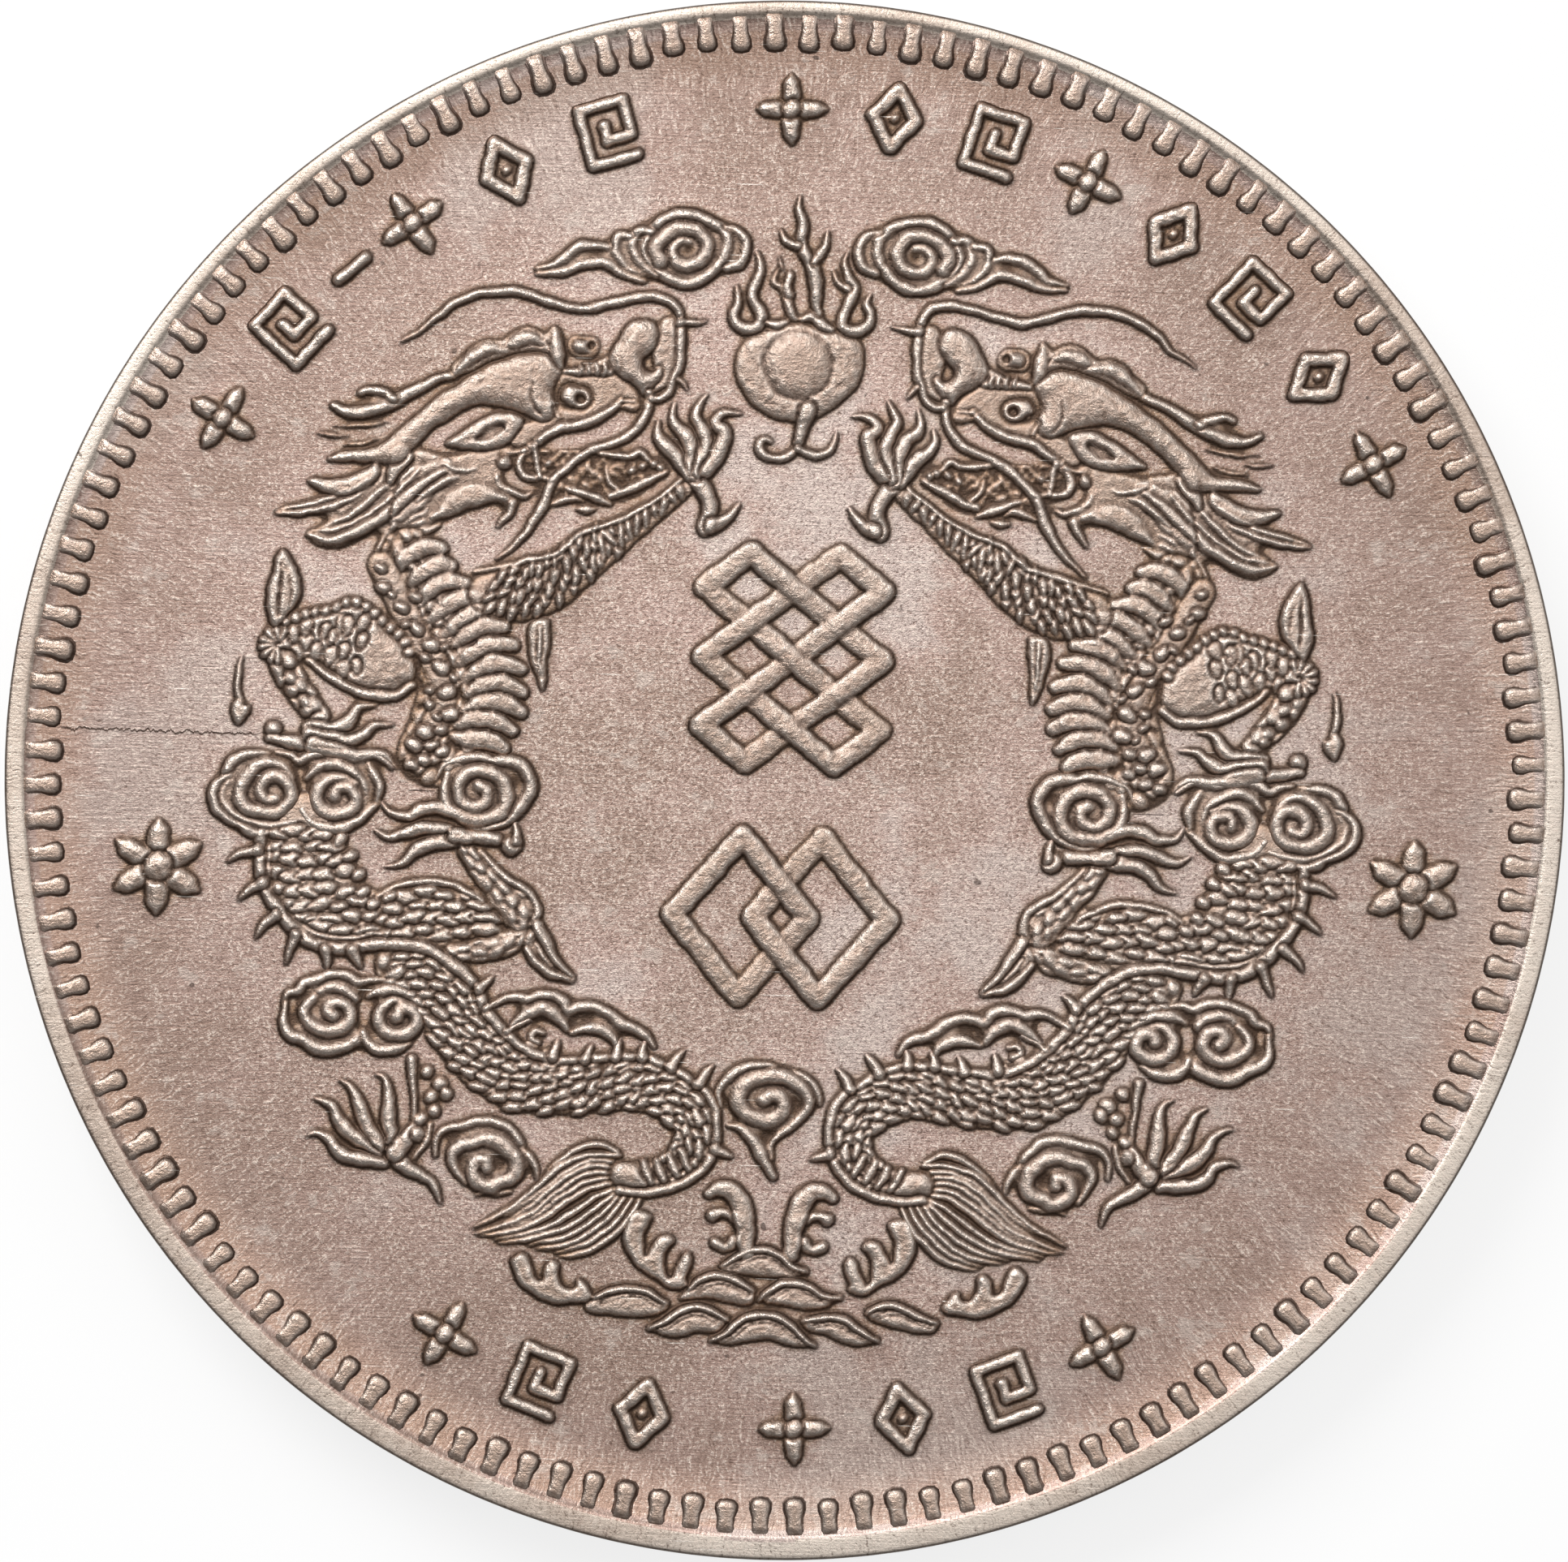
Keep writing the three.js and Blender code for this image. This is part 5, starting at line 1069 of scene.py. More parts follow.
def draw_lower_body(cut):
    """The long body that winds under the clouds to the tail."""
    route = [-10.1, -5.2, -9.45, -5.4, -8.85, -5.9, -8.35, -6.65, -7.75, -7.3, -6.85, -7.98, -5.6, -8.22,
        -4.5, -8.15, -3.4, -8.15, -2.5, -8.45, -2.05, -9.2, -2.2, -9.95, -2.9, -10.45, -3.8, -10.6]
    half = [0.5, 0.7, 0.82, 0.88, 0.92, 0.86, 0.74, 0.68, 0.66, 0.64, 0.58, 0.54, 0.42, 0.4]
    cut.scales(route, half, pitch=[0.55, 0.5, 0.46, 0.42, 0.4, 0.38, 0.38], across=[0.4, 0.34, 0.32, 0.34],
               lean=0.35, turn=0.55, low=0.3)
    cut.ovals(route[:26], [w * 0.97 for w in half[:13]], 0.38, 0.3, 0.28, 0.155, turn=0.45, top=0.15)


def draw_back_ridges(cut):
    """The ridge of the back, with its spines."""
    outer = [-13.72, -1.85, -13.72, -2.6, -13.65, -3.1, -13.45, -3.5, -13.1, -3.95, -12.7, -4.4, -12.2,
        -4.7, -11.6, -4.8, -11, -4.75, -10.4, -4.65, -9.8, -4.65, -9.3, -4.72, -8.9, -4.9, -8.6, -5.1, -8.2,
        -5.4, -7.9, -5.75, -7.72, -6.15, -7.5, -6.45, -7.2, -6.8, -6.8, -7.15, -6.3, -7.42, -5.8, -7.55,
        -5.2, -7.52, -4.6, -7.45, -3.9, -7.4, -3.3, -7.45, -2.7, -7.65, -2.2, -7.98, -1.8, -8.25, -1.55,
        -8.7, -1.47, -9.25, -1.55, -9.8, -1.8, -10.25, -2.2, -10.62, -2.8, -10.88, -3.5, -10.97, -4, -10.9]
    inner = [-13.5, -2.2, -13.48, -3, -13.3, -3.45, -12.9, -3.98, -12.45, -4.35, -11.95, -4.5, -11.2, -4.52,
        -10.5, -4.38]
    spines = [
        [-13.8, -2.3, -14.2, -2.38, -14.58, -2.62],
        [-13.6, -3.15, -14, -3.35, -14.25, -3.62],
        [-13.25, -4, -13.6, -4.3, -13.78, -4.62],
        [-12.7, -4.5, -12.85, -4.9, -12.98, -5.28],
        [-11.9, -4.85, -11.86, -5.15, -11.85, -5.42],
        [-11.2, -4.85, -11.05, -5.1, -10.92, -5.32],
        [-7.85, -5.75, -7.65, -5.55, -7.45, -5.4],
        [-5.85, -7.45, -5.8, -7.2, -5.72, -6.95],
        [-5, -7.5, -4.92, -7.3, -4.8, -7.1],
        [-4.2, -7.42, -4.18, -7.2, -4.1, -6.95],
        [-3.5, -7.42, -3.5, -7.2, -3.42, -6.95],
        [-2.75, -7.65, -2.6, -7.4, -2.36, -7.12],
        [-2, -8.05, -1.85, -7.8, -1.58, -7.52],
        [-1.5, -9.75, -1.25, -9.85, -1, -9.95],
    ]
    cut.strand(inner, [0.05, 0.08, 0.07])
    cut.strand(outer, [0.15, 0.17, 0.17, 0.16, 0.13, 0.12, 0.13, 0.12], carry=0.15)
    cut.strands(spines, [0.17, 0.13, 0.09, 0.02], carry=0.3)
    cut.strands([
        [-7.65, -6.25, -7.3, -6.05, -7, -5.95],
        [-7.1, -6.85, -6.8, -6.65, -6.5, -6.5],
    ], [0.08, 0.08])


def draw_lower_foot(cut):
    """The open hind foot and its short leg."""
    claw = [0.03, 0.13, 0.2, 0.21, 0.16]
    cut.strands([
        [-12.25, -9.76, -12, -9.68, -11.62, -9.82, -11.42, -10.1, -11.1, -10.28, -10.7, -10.32, -10.2,
            -10.38],
        [-12.1, -8.78, -11.8, -8.85, -11.55, -9.02, -11.42, -9.32, -11.15, -9.62, -10.75, -9.86, -10.3,
            -10.05],
        [-11.4, -8.25, -11.1, -8.45, -10.92, -8.8, -10.78, -9.2, -10.55, -9.6, -10.2, -9.95],
        [-10.5, -8.05, -10.22, -8.2, -10.12, -8.6, -10.12, -9.15, -10.02, -9.65, -9.92, -10.1],
    ], claw)
    cut.strand([-9.95, -10.15, -9.6, -10.48, -9.2, -10.7, -8.88, -10.92, -8.68, -11.45],
        [0.24, 0.2, 0.16, 0.12, 0.03])
    cut.strand([-9.9, -10.1, -9.65, -9.8, -9.35, -9.4], [0.26, 0.22, 0.16])
    cut.strand([-9.56, -7.65, -9.5, -8.2, -9.46, -8.8, -9.42, -9.25], [0.14, 0.08, 0.08])
    for place, size in (((-9.15, -7.97), 0.16), ((-8.78, -8.28), 0.22), ((-9.02, -8.62), 0.18),
                        ((-8.62, -8.55), 0.17), ((-8.92, -8.98), 0.16), ((-9.25, -9.2), 0.16),
                        ((-9.3, -9.62), 0.2)):
        cut.ball(place, size, top=0.12)
    cut.strand([-9, -9.35, -9.1, -9.8, -9.4, -10.25], [0.07, 0.08, 0.06])


def draw_tail(cut):
    """The tail: a ball from which long hairs sweep out and run together to a point."""
    hairs = [
        [-4.05, -9.9, -4.5, -9.72, -5, -9.82, -5.5, -10.15, -5.95, -10.5],
        [-4, -10, -4.6, -10, -5.2, -10.15, -5.8, -10.55, -6.3, -11.08, -6.8, -11.48, -7.3, -11.75, -7.8,
            -12],
        [-4.2, -10.17, -4.8, -10.2, -5.4, -10.5, -6, -11.02, -6.5, -11.4, -7, -11.72],
        [-4.25, -10.32, -4.8, -10.34, -5.35, -10.62, -5.9, -11.1, -6.4, -11.5, -7, -11.82],
        [-4.25, -10.47, -4.8, -10.5, -5.3, -10.78, -5.8, -11.22, -6.3, -11.62, -7, -11.93, -7.75, -12.18],
        [-4.25, -10.62, -4.8, -10.7, -5.3, -11, -5.8, -11.42, -6.35, -11.8, -7.1, -12.05],
        [-4.2, -10.75, -4.8, -10.9, -5.3, -11.22, -5.8, -11.62, -6.4, -11.96, -7.2, -12.17, -7.6, -12.22],
        [-4.12, -10.88, -4.6, -11.12, -5.1, -11.48, -5.7, -11.88, -6.3, -12.12, -7.2, -12.3],
        [-4.08, -10.97, -4.5, -11.33, -5, -11.72, -5.6, -12.06, -6.3, -12.27, -7.1, -12.4],
        [-4, -11.05, -4.35, -11.48, -4.85, -11.9, -5.5, -12.24, -6.3, -12.42],
        [-3.85, -11.1, -4.15, -11.55, -4.6, -11.98, -5.2, -12.34, -6.1, -12.54],
        [-3.65, -11.12, -3.9, -11.55, -4.35, -12.02, -4.9, -12.4, -5.6, -12.62],
        [-3.45, -11.15, -3.65, -11.55, -4.05, -12.03, -4.5, -12.4, -5, -12.62, -5.5, -12.72],
    ]
    cut.strands(hairs, [0.06, 0.09, 0.105, 0.1, 0.08, 0.03], top=[0.1, 0.15, 0.16, 0.14, 0.1, 0.04],
        moat=0.04)


def draw_tail_root(cut):
    """The ball at the root of the tail, and the last narrow plates of the body."""
    cut.strand([-3.95, -10.5, -3.65, -10.55, -3.4, -10.6], [0.34, 0.36, 0.28], top=0.17, carry=0)
    for x, y in ((-3.3, -10.42), (-2.94, -10.36), (-2.62, -10.22), (-2.3, -10.08)):
        line = [(x - 0.1, y + 0.26), (x + 0.02, y), (x + 0.16, y - 0.26)]
        cut.strand(line, [0.1, 0.15, 0.1], top=0.17, carry=0, moat=0.05)


def cut_hindquarters():
    """The rear half of a dragon."""
    cut = Relief((-14.7, -12.8), (-1.0, -0.8))
    draw_upper_body(cut)
    draw_hind_leg(cut)
    draw_lower_body(cut)
    draw_tail(cut)
    draw_tail_root(cut)
    draw_back_ridges(cut)
    draw_lower_foot(cut)
    return cut


# Clouds: each is drawn in a few curling ridges

SIDE_CLOUDS = {
    "top_cloud": [
        ([0.14, 0.15, 0.14], [-4.05, 14.1, -3.8, 14.5, -3.4, 14.75, -2.9, 14.76, -2.4, 14.6, -2.05, 14.38,
            -1.98, 14, -2.1, 13.6, -2.5, 13.18, -3, 12.97, -3.5, 13.1, -3.9, 13.35, -4.15, 13.72, -4.05,
            14.1]),
        ([0.05, 0.12, 0.13, 0.1], [-2.05, 14.5, -1.75, 14.42, -1.52, 14.15, -1.5, 13.8, -1.65, 13.52, -1.95,
            13.4]),
        ([0.1, 0.13, 0.12, 0.05], [-3.95, 14.3, -4.32, 14.3, -4.46, 14.05, -4.42, 13.75, -4.2, 13.4, -3.8,
            13.12]),
        ([0.1, 0.12, 0.1, 0.03], [-4.55, 14.15, -4.85, 14.15, -4.92, 13.85, -4.8, 13.55, -4.55, 13.3, -4.1,
            13.08]),
        ([0.04, 0.12, 0.14, 0.08], [-7, 13.25, -6.5, 13.35, -6.15, 13.62, -5.8, 13.85, -5.4, 13.9, -5.08,
            13.85]),
        ([0.05, 0.12, 0.12, 0.05], [-6.95, 13.12, -6.3, 13.15, -5.8, 13.36, -5.3, 13.46, -5, 13.36, -4.6,
            13.12, -4.1, 13]),
        ([0.2, 0.19, 0.18, 0.17, 0.1], [-3.72, 13.55, -3.86, 13.85, -3.62, 14.2, -3.2, 14.42, -2.75, 14.35,
            -2.5, 14, -2.6, 13.65, -2.95, 13.45, -3.3, 13.55, -3.42, 13.85, -3.2, 14.1, -2.95, 14.08]),
    ],
    "middle_double_cloud": [
        ([0.03, 0.12, 0.15, 0.14], [-13.5, 0.27, -14.1, 0.22, -14.48, 0.05, -14.66, -0.25, -14.6, -0.5]),
        ([0.06, 0.14, 0.16, 0.16, 0.08], [-14.55, -0.35, -14.92, -0.55, -15.02, -0.9, -14.88, -1.22, -14.5,
            -1.48, -14.2, -1.58, -14.02, -1.78, -13.7, -1.83, -13.4, -1.7]),
        ([0.05, 0.11, 0.12, 0.08], [-14.6, -0.5, -14.78, -0.8, -14.68, -1.12, -14.38, -1.36, -14.05, -1.48,
            -13.7, -1.6, -13.2, -1.58, -12.8, -1.48]),
        ([0.1, 0.15, 0.15, 0.06], [-12.65, -1.22, -12.42, -1.48, -12, -1.64, -11.6, -1.64, -11.2, -1.42,
            -10.9, -1.17, -10.62, -0.95]),
        ([0.05, 0.12, 0.12, 0.13, 0.05], [-13.35, 0.3, -13, 0.24, -12.75, 0.1, -12.5, 0.24, -12, 0.34,
            -11.5, 0.2, -11.1, 0.24, -10.8, 0.3, -10.5, 0.15, -10.3, 0]),
        ([0.06, 0.12, 0.12, 0.06], [-10.95, 0.05, -10.75, -0.28, -10.62, -0.52, -10.7, -0.92]),
        ([0.08, 0.16, 0.2, 0.18, 0.18, 0.15], [-12.95, -0.35, -13.15, -0.1, -13.5, 0, -13.88, -0.1, -14.15,
            -0.4, -14.3, -0.75, -14.25, -1.05, -14, -1.22, -13.6, -1.3, -13.2, -1.2, -12.97, -0.92, -13,
            -0.58, -13.25, -0.36, -13.58, -0.4, -13.76, -0.68, -13.62, -0.95, -13.38, -0.92]),
        ([0.06, 0.16, 0.16, 0.08], [-12.55, -0.38, -12.28, -0.08, -11.85, 0.04, -11.4, -0.15, -11.1, -0.45,
            -11.02, -0.8]),
        ([0.08, 0.17, 0.19, 0.17, 0.15], [-11.25, -0.45, -11.65, -0.32, -12.05, -0.42, -12.28, -0.78,
            -12.15, -1.12, -11.8, -1.28, -11.4, -1.18, -11.22, -0.88, -11.4, -0.6, -11.72, -0.62, -11.8,
            -0.85]),
    ],
    "middle_cloud": [
        ([0.04, 0.13, 0.16, 0.16, 0.14, 0.05], [-9.2, -0.3, -8.95, 0.08, -8.5, 0.28, -8, 0.33, -7.7, 0.22,
            -7.38, 0.28, -7, 0.18, -6.76, -0.06, -6.66, -0.36, -6.76, -0.7, -6.95, -1, -7.2, -1.22, -7.6,
            -1.44, -8.1, -1.5, -8.5, -1.38]),
        ([0.08, 0.17, 0.19, 0.19, 0.18, 0.16], [-8.85, -0.12, -8.95, -0.55, -8.8, -0.98, -8.42, -1.22, -8,
            -1.28, -7.58, -1.18, -7.3, -0.88, -7.3, -0.48, -7.52, -0.16, -7.9, -0.02, -8.32, -0.1, -8.56,
            -0.42, -8.5, -0.78, -8.2, -0.96, -7.86, -0.86, -7.8, -0.56, -8.02, -0.42]),
    ],
    "low_cloud": [
        ([0.05, 0.12, 0.14, 0.12, 0.05], [-13, -6.35, -12.88, -6.06, -12.6, -5.95, -12.42, -5.72, -12.1,
            -5.62, -11.7, -5.5, -11.3, -5.52, -11, -5.66, -10.7, -5.6, -10.3, -5.6]),
        ([0.06, 0.15, 0.17, 0.17, 0.12], [-12.92, -6.3, -12.95, -6.8, -12.75, -7.1, -12.4, -7.24, -12.1,
            -7.42, -11.7, -7.48, -11.3, -7.35, -11, -7.2, -10.84, -7]),
        ([0.08, 0.15, 0.15, 0.04], [-10.84, -7, -10.72, -7.25, -10.4, -7.43, -10, -7.38, -9.6, -7.22]),
        ([0.08, 0.15, 0.12], [-12.12, -6.05, -11.92, -5.86, -11.6, -5.8, -11.25, -5.94, -11.08, -6.12]),
        ([0.1, 0.18, 0.19, 0.17, 0.18], [-12.18, -6.12, -12.42, -6.45, -12.28, -6.76, -11.88, -6.98, -11.48,
            -6.93, -11.22, -6.65, -11.32, -6.32, -11.62, -6.22, -11.8, -6.42, -11.66, -6.58]),
        ([0.06, 0.15, 0.15, 0.08], [-10.76, -6.05, -10.5, -5.9, -10.1, -5.86, -9.7, -6, -9.4, -6.22]),
        ([0.08, 0.16, 0.18, 0.17, 0.17], [-9.72, -6.22, -10.12, -6.15, -10.42, -6.45, -10.38, -6.8, -10.1,
            -7, -9.75, -6.98, -9.48, -6.76, -9.55, -6.42, -9.85, -6.35, -9.98, -6.55]),
    ],
    "arched_cloud": [
        ([0.05, 0.13, 0.15, 0.13, 0.14, 0.15, 0.06], [-7.5, -6.2, -7.2, -6, -6.85, -5.92, -6.5, -5.98,
            -6.25, -5.9, -5.9, -5.86, -5.62, -6, -5.5, -6.22, -5.2, -6.12, -4.8, -6.12, -4.4, -6.3, -4,
            -6.58, -3.7, -6.66, -3.4, -6.85, -3.2, -7.12]),
        ([0.05, 0.16, 0.17, 0.08], [-6.95, -6.7, -6.6, -6.4, -6.2, -6.2, -5.9, -6.3, -5.65, -6.5, -5.5,
            -6.72]),
        ([0.06, 0.14, 0.15, 0.08], [-5.38, -6.82, -5, -6.7, -4.62, -6.7, -4.3, -6.88, -4.18, -7.08]),
        ([0.06, 0.09, 0.08], [-6.1, -6.85, -6.35, -6.8, -6.45, -7, -6.25, -7.1]),
    ],
    "small_cloud": [
        ([0.05, 0.12, 0.13, 0.1], [-8.86, -10.2, -8.84, -9.75, -8.6, -9.46, -8.15, -9.35, -7.7, -9.22, -7.2,
            -9.26, -6.82, -9.5, -6.62, -9.82, -6.68, -10.05]),
        ([0.03, 0.1, 0.09, 0.03], [-6.62, -9.9, -6.38, -10.1, -6.2, -10.4, -6.14, -10.7]),
        ([0.03, 0.08, 0.03], [-7.75, -11.18, -7.4, -11.1, -6.8, -11.05]),
        ([0.05, 0.15, 0.2, 0.19, 0.19, 0.17], [-8.05, -10.85, -8.32, -10.5, -8.42, -10.12, -8.2, -9.88,
            -7.9, -9.8, -7.6, -9.68, -7.2, -9.74, -6.92, -9.96, -6.74, -10.18, -6.7, -10.48, -6.86, -10.7,
            -7.15, -10.8, -7.42, -10.92, -7.7, -10.82, -7.86, -10.55, -7.76, -10.28, -7.52, -10.24, -7.48,
            -10.42]),
    ],
}
BOTTOM_CLOUD = [
    ([0.05, 0.14, 0.14, 0.08], [-1.38, -8.65, -1.45, -8.22, -1.2, -7.86, -0.8, -7.62, -0.3, -7.52, 0.1,
        -7.66, 0.4, -7.9]),
    ([0.06, 0.14, 0.12, 0.05], [0.1, -7.66, 0.5, -7.72, 0.9, -7.9, 1.15, -8.2, 1.2, -8.5]),
    ([0.04, 0.13, 0.16, 0.1], [-1.25, -9.1, -0.9, -9.15, -0.58, -9.38, -0.36, -9.72, -0.14, -10.1, 0.05,
        -10.42]),
    ([0.05, 0.1, 0.14, 0.2, 0.22, 0.2, 0.2, 0.18], [0, -9.95, -0.05, -9.6, 0.2, -9.28, 0.6, -8.98, 0.88,
        -8.58, 0.84, -8.18, 0.48, -7.9, 0, -7.78, -0.48, -7.86, -0.82, -8.1, -0.92, -8.45, -0.75, -8.75,
        -0.42, -8.92, -0.08, -8.92, 0.2, -8.72, 0.22, -8.42, -0.02, -8.28, -0.26, -8.4]),
]


def cut_ridges(ridges):
    """A cloud from its curling ridges."""
    places = np.vstack([pairs(points) for half, points in ridges])
    cut = Relief(places.min(axis=0), places.max(axis=0))
    for half, points in ridges:
        cut.strand(points, 1.14 * np.array(half), carry=0.2)
    cut.web(0.055, 0.2)
    return cut


# The flaming pearl, the sea and the small separate forms


def cut_pearl():
    """The pearl with its stem and its flames."""
    cut = Relief((-1.9, 8.3), (1.95, 15.4))
    cut.leaf([-1.3, 11.6, -1.6, 11.2, -1.65, 10.7, -1.45, 10.2, -1.1, 9.8, -0.6, 9.52, -0.1, 9.42, 0.35,
        9.5, 0.85, 9.75, 1.3, 10.1, 1.6, 10.5, 1.72, 11, 1.66, 11.5, 1.25, 11.78, 0.6, 11.92, 0, 12, -0.55,
        11.94], 0.14, 0.5)
    cut.strand([0, 10.93, 0, 10.94], 0.9, top=0.19, moat=0.1, sink=0.75)
    cut.strand([0.28, 9.75, 0.15, 9.2, 0.05, 8.75], [0.24, 0.17, 0.13])
    cut.strand([0.05, 8.7, -0.3, 8.47, -0.7, 8.47, -0.97, 8.7, -0.85, 8.93, -0.66, 8.88],
        [0.1, 0.11, 0.12, 0.12, 0.06])
    cut.strand([0.05, 8.72, 0.5, 8.56, 0.85, 8.66, 1, 8.95, 1.07, 9.25], [0.1, 0.11, 0.09, 0.03])
    flames = [
        ([0.03, 0.12, 0.16, 0.18, 0.16, 0.14, 0.12, 0.03], [-1.7, 12.95, -1.65, 12.5, -1.74, 12.2, -1.62,
            11.95, -1.35, 11.84, -1.08, 11.95, -1.03, 12.25, -1.22, 12.55, -1.28, 12.85, -1.14, 13.15,
            -1.06, 13.5, -1.2, 13.86]),
        ([0.06, 0.13, 0.08], [-0.88, 12.02, -0.6, 11.96, -0.34, 12.04]),
        ([0.03, 0.08, 0.13, 0.12, 0.03], [-0.62, 13.38, -0.7, 13.1, -0.52, 12.95, -0.36, 12.72, -0.28, 12.4,
            -0.16, 12.16, 0.1, 12.1]),
        ([0.1, 0.12, 0.12], [-0.3, 13.28, -0.38, 13, -0.3, 12.75]),
        ([0.02, 0.05], [-0.6, 13.85, -0.5, 13.45]),
        ([0.08, 0.14, 0.15, 0.12], [0.05, 12.12, 0.35, 12.2, 0.6, 11.98, 0.82, 11.9]),
        ([0.03, 0.12, 0.16, 0.15, 0.18, 0.19, 0.17, 0.1], [-0.1, 15.35, -0.12, 15, 0, 14.6, -0.04, 14.2,
            0.04, 13.9, 0.25, 13.6, 0.36, 13.28, 0.42, 12.9, 0.42, 12.5, 0.5, 12.3]),
        ([0.03, 0.1, 0.12], [-0.58, 14.45, -0.46, 14.2, -0.12, 14.05]),
        ([0.04, 0.1, 0.11, 0.1], [0.65, 14.45, 0.63, 14.1, 0.48, 13.85, 0.34, 13.62]),
        ([0.03, 0.1, 0.14, 0.15, 0.16, 0.17, 0.15, 0.13, 0.03], [1.2, 13.95, 1.1, 13.6, 1.24, 13.28, 1.38,
            12.95, 1.3, 12.6, 1.15, 12.3, 1.12, 12, 1.35, 11.85, 1.62, 11.88, 1.82, 12.08, 1.85, 12.35,
            1.72, 12.6, 1.86, 12.88]),
        ([0.03, 0.08, 0.1], [0.83, 13.45, 0.95, 13.15, 1.25, 12.95]),
    ]
    for half, points in flames:
        cut.strand(points, half, carry=0.15)
    return cut


def draw_wave_hill(cut, crest, foot):
    """One wave: a bright crest over a sunken lens with fine lines in it."""
    crest = pairs(crest)
    cut.leaf(np.vstack([crest, pairs(foot) - (0, 0.1)]), 0.12, 0.2)
    middle, peak = crest[len(crest) // 2]
    for drop, share, half, top in ((0.09, 0.98, 0.1, 0.17), (0.26, 0.75, 0.04, 0.04)):
        line = [(middle + (x - middle) * share, peak - drop + (y - peak) * share) for x, y in crest]
        cut.strand(line, [0.03, half, half, half, 0.03], top=top, carry=0.8, moat=0.04)


def cut_sea():
    """The sea under the dragons: wave hills and tall breakers."""
    cut = Relief((-6.9, -15.0), (6.9, -10.4))
    hills = [
        ([-1.25, -12.75, -0.85, -12.45, -0.4, -12.27, 0, -12.28, 0.35, -12.45, 0.65, -12.68, 1.05, -12.83],
            [0.55, -13, -0.3, -12.95, -1.1, -12.95]),
        ([-2.1, -13.38, -1.8, -13.1, -1.4, -12.97, -1, -13.03, -0.6, -13.22, -0.35, -13.4],
            [-0.4, -13.68, -0.9, -13.7, -1.5, -13.58, -2.3, -13.65]),
        ([-0.25, -13.62, 0, -13.35, 0.35, -13.12, 0.8, -13.08, 1.1, -13.2, 1.5, -13.42, 2, -13.5],
            [1.5, -13.72, 1, -13.78, 0.5, -13.72]),
        ([-4.65, -13.72, -4.2, -13.5, -3.8, -13.4, -3.4, -13.4, -3, -13.55, -2.62, -13.78],
            [-2.7, -13.95, -3.2, -14.1, -4, -14.1, -4.8, -13.98]),
        ([-3.15, -14.45, -2.8, -14.28, -2.4, -14, -2, -13.85, -1.6, -13.85, -1.25, -14, -0.98, -14.2],
            [-1.3, -14.46, -1.8, -14.46, -2.3, -14.6, -2.8, -14.56]),
        ([-1.5, -14.72, -1.1, -14.5, -0.8, -14.2, -0.5, -14.02, 0, -13.95, 0.4, -14.05, 0.75, -14.3, 1,
            -14.55, 1.35, -14.78], [0.8, -14.76, 0.1, -14.62, -0.5, -14.68, -1.1, -14.77]),
        ([0.92, -14.12, 1.3, -14, 1.7, -13.97, 2.1, -14.05, 2.4, -14.25, 2.75, -14.45, 3, -14.6],
            [2.6, -14.67, 2.1, -14.66, 1.6, -14.45, 1.1, -14.32]),
        ([2.58, -13.87, 2.9, -13.65, 3.3, -13.6, 3.7, -13.73, 4.1, -13.92, 4.5, -14.05],
            [4.4, -14.26, 3.9, -14.3, 3.3, -14.17, 2.8, -14.02]),
    ]
    for crest, foot in hills:
        draw_wave_hill(cut, crest, foot)
    outer = [-6.55, -12.6, -6.35, -12.68, -6.2, -13, -6.1, -13.25, -5.92, -13.3, -5.85, -12.95, -5.65,
        -12.8, -5.5, -12.92, -5.48, -13.25, -5.33, -13.5, -5.1, -13.5, -5.02, -13.3, -4.88, -13.32, -4.72,
        -13.52, -4.58, -13.72, -4.75, -13.88, -5.1, -13.92, -5.5, -13.98, -5.9, -13.87, -6.25, -13.65, -6.5,
        -13.48, -6.68, -13.15, -6.78, -12.82]
    inner = [-3.78, -11.75, -3.68, -11.52, -3.4, -11.42, -3.1, -11.55, -3.18, -11.8, -3.3, -12.1, -3.22,
        -12.55, -3.1, -12.4, -2.92, -12.1, -2.62, -12.03, -2.46, -12.2, -2.6, -12.38, -2.7, -12.62, -2.7,
        -13, -2.58, -13.15, -2.45, -12.9, -2.3, -12.55, -2.13, -12.48, -2, -12.65, -2.04, -12.9, -2.14,
        -13.18, -2.1, -13.38, -2.5, -13.47, -2.95, -13.22, -3.4, -12.95, -3.7, -12.6, -3.87, -12.2]
    for side in (1, -1):
        cut.leaf(pairs(outer) * (side, 1), 0.16, 0.16)
        cut.leaf(pairs(inner) * (side, 1), 0.17, 0.16)
    return cut


def cut_spray_arm():
    """The curling breaker by the tail."""
    cut = Relief((-1.8, -12.6), (-0.3, -10.4))
    cut.strand([-0.9, -12.15, -1.15, -12.32, -1.4, -12.22], [0.2, 0.13, 0.16])
    cut.strand([-0.8, -11.6, -1.05, -11.46, -1.3, -11.42, -1.52, -11.5], [0.2, 0.13, 0.12, 0.17])
    cut.strand([-1.62, -10.92, -1.4, -10.78, -1.1, -10.8, -0.85, -11.05, -0.7, -11.45, -0.63, -11.85, -0.62,
        -12.2, -0.58, -12.45], [0.15, 0.22, 0.26, 0.29, 0.28, 0.26, 0.24, 0.22], crown=0.4)
    return cut


def cut_spark():
    """The little flame beside the raised elbow."""
    cut = Relief((-14.8, 0.8), (-14.0, 3.0))
    cut.strand([-14.36, 2.78, -14.44, 2.46, -14.45, 1.95, -14.36, 1.6], [0.03, 0.08, 0.09, 0.1])
    cut.leaf([-14.45, 1.7, -14.3, 1.55, -14.12, 1.5, -14.15, 1.25, -14.42, 0.98, -14.6, 1.3, -14.58, 1.55],
        0.12, 0.16)
    return cut


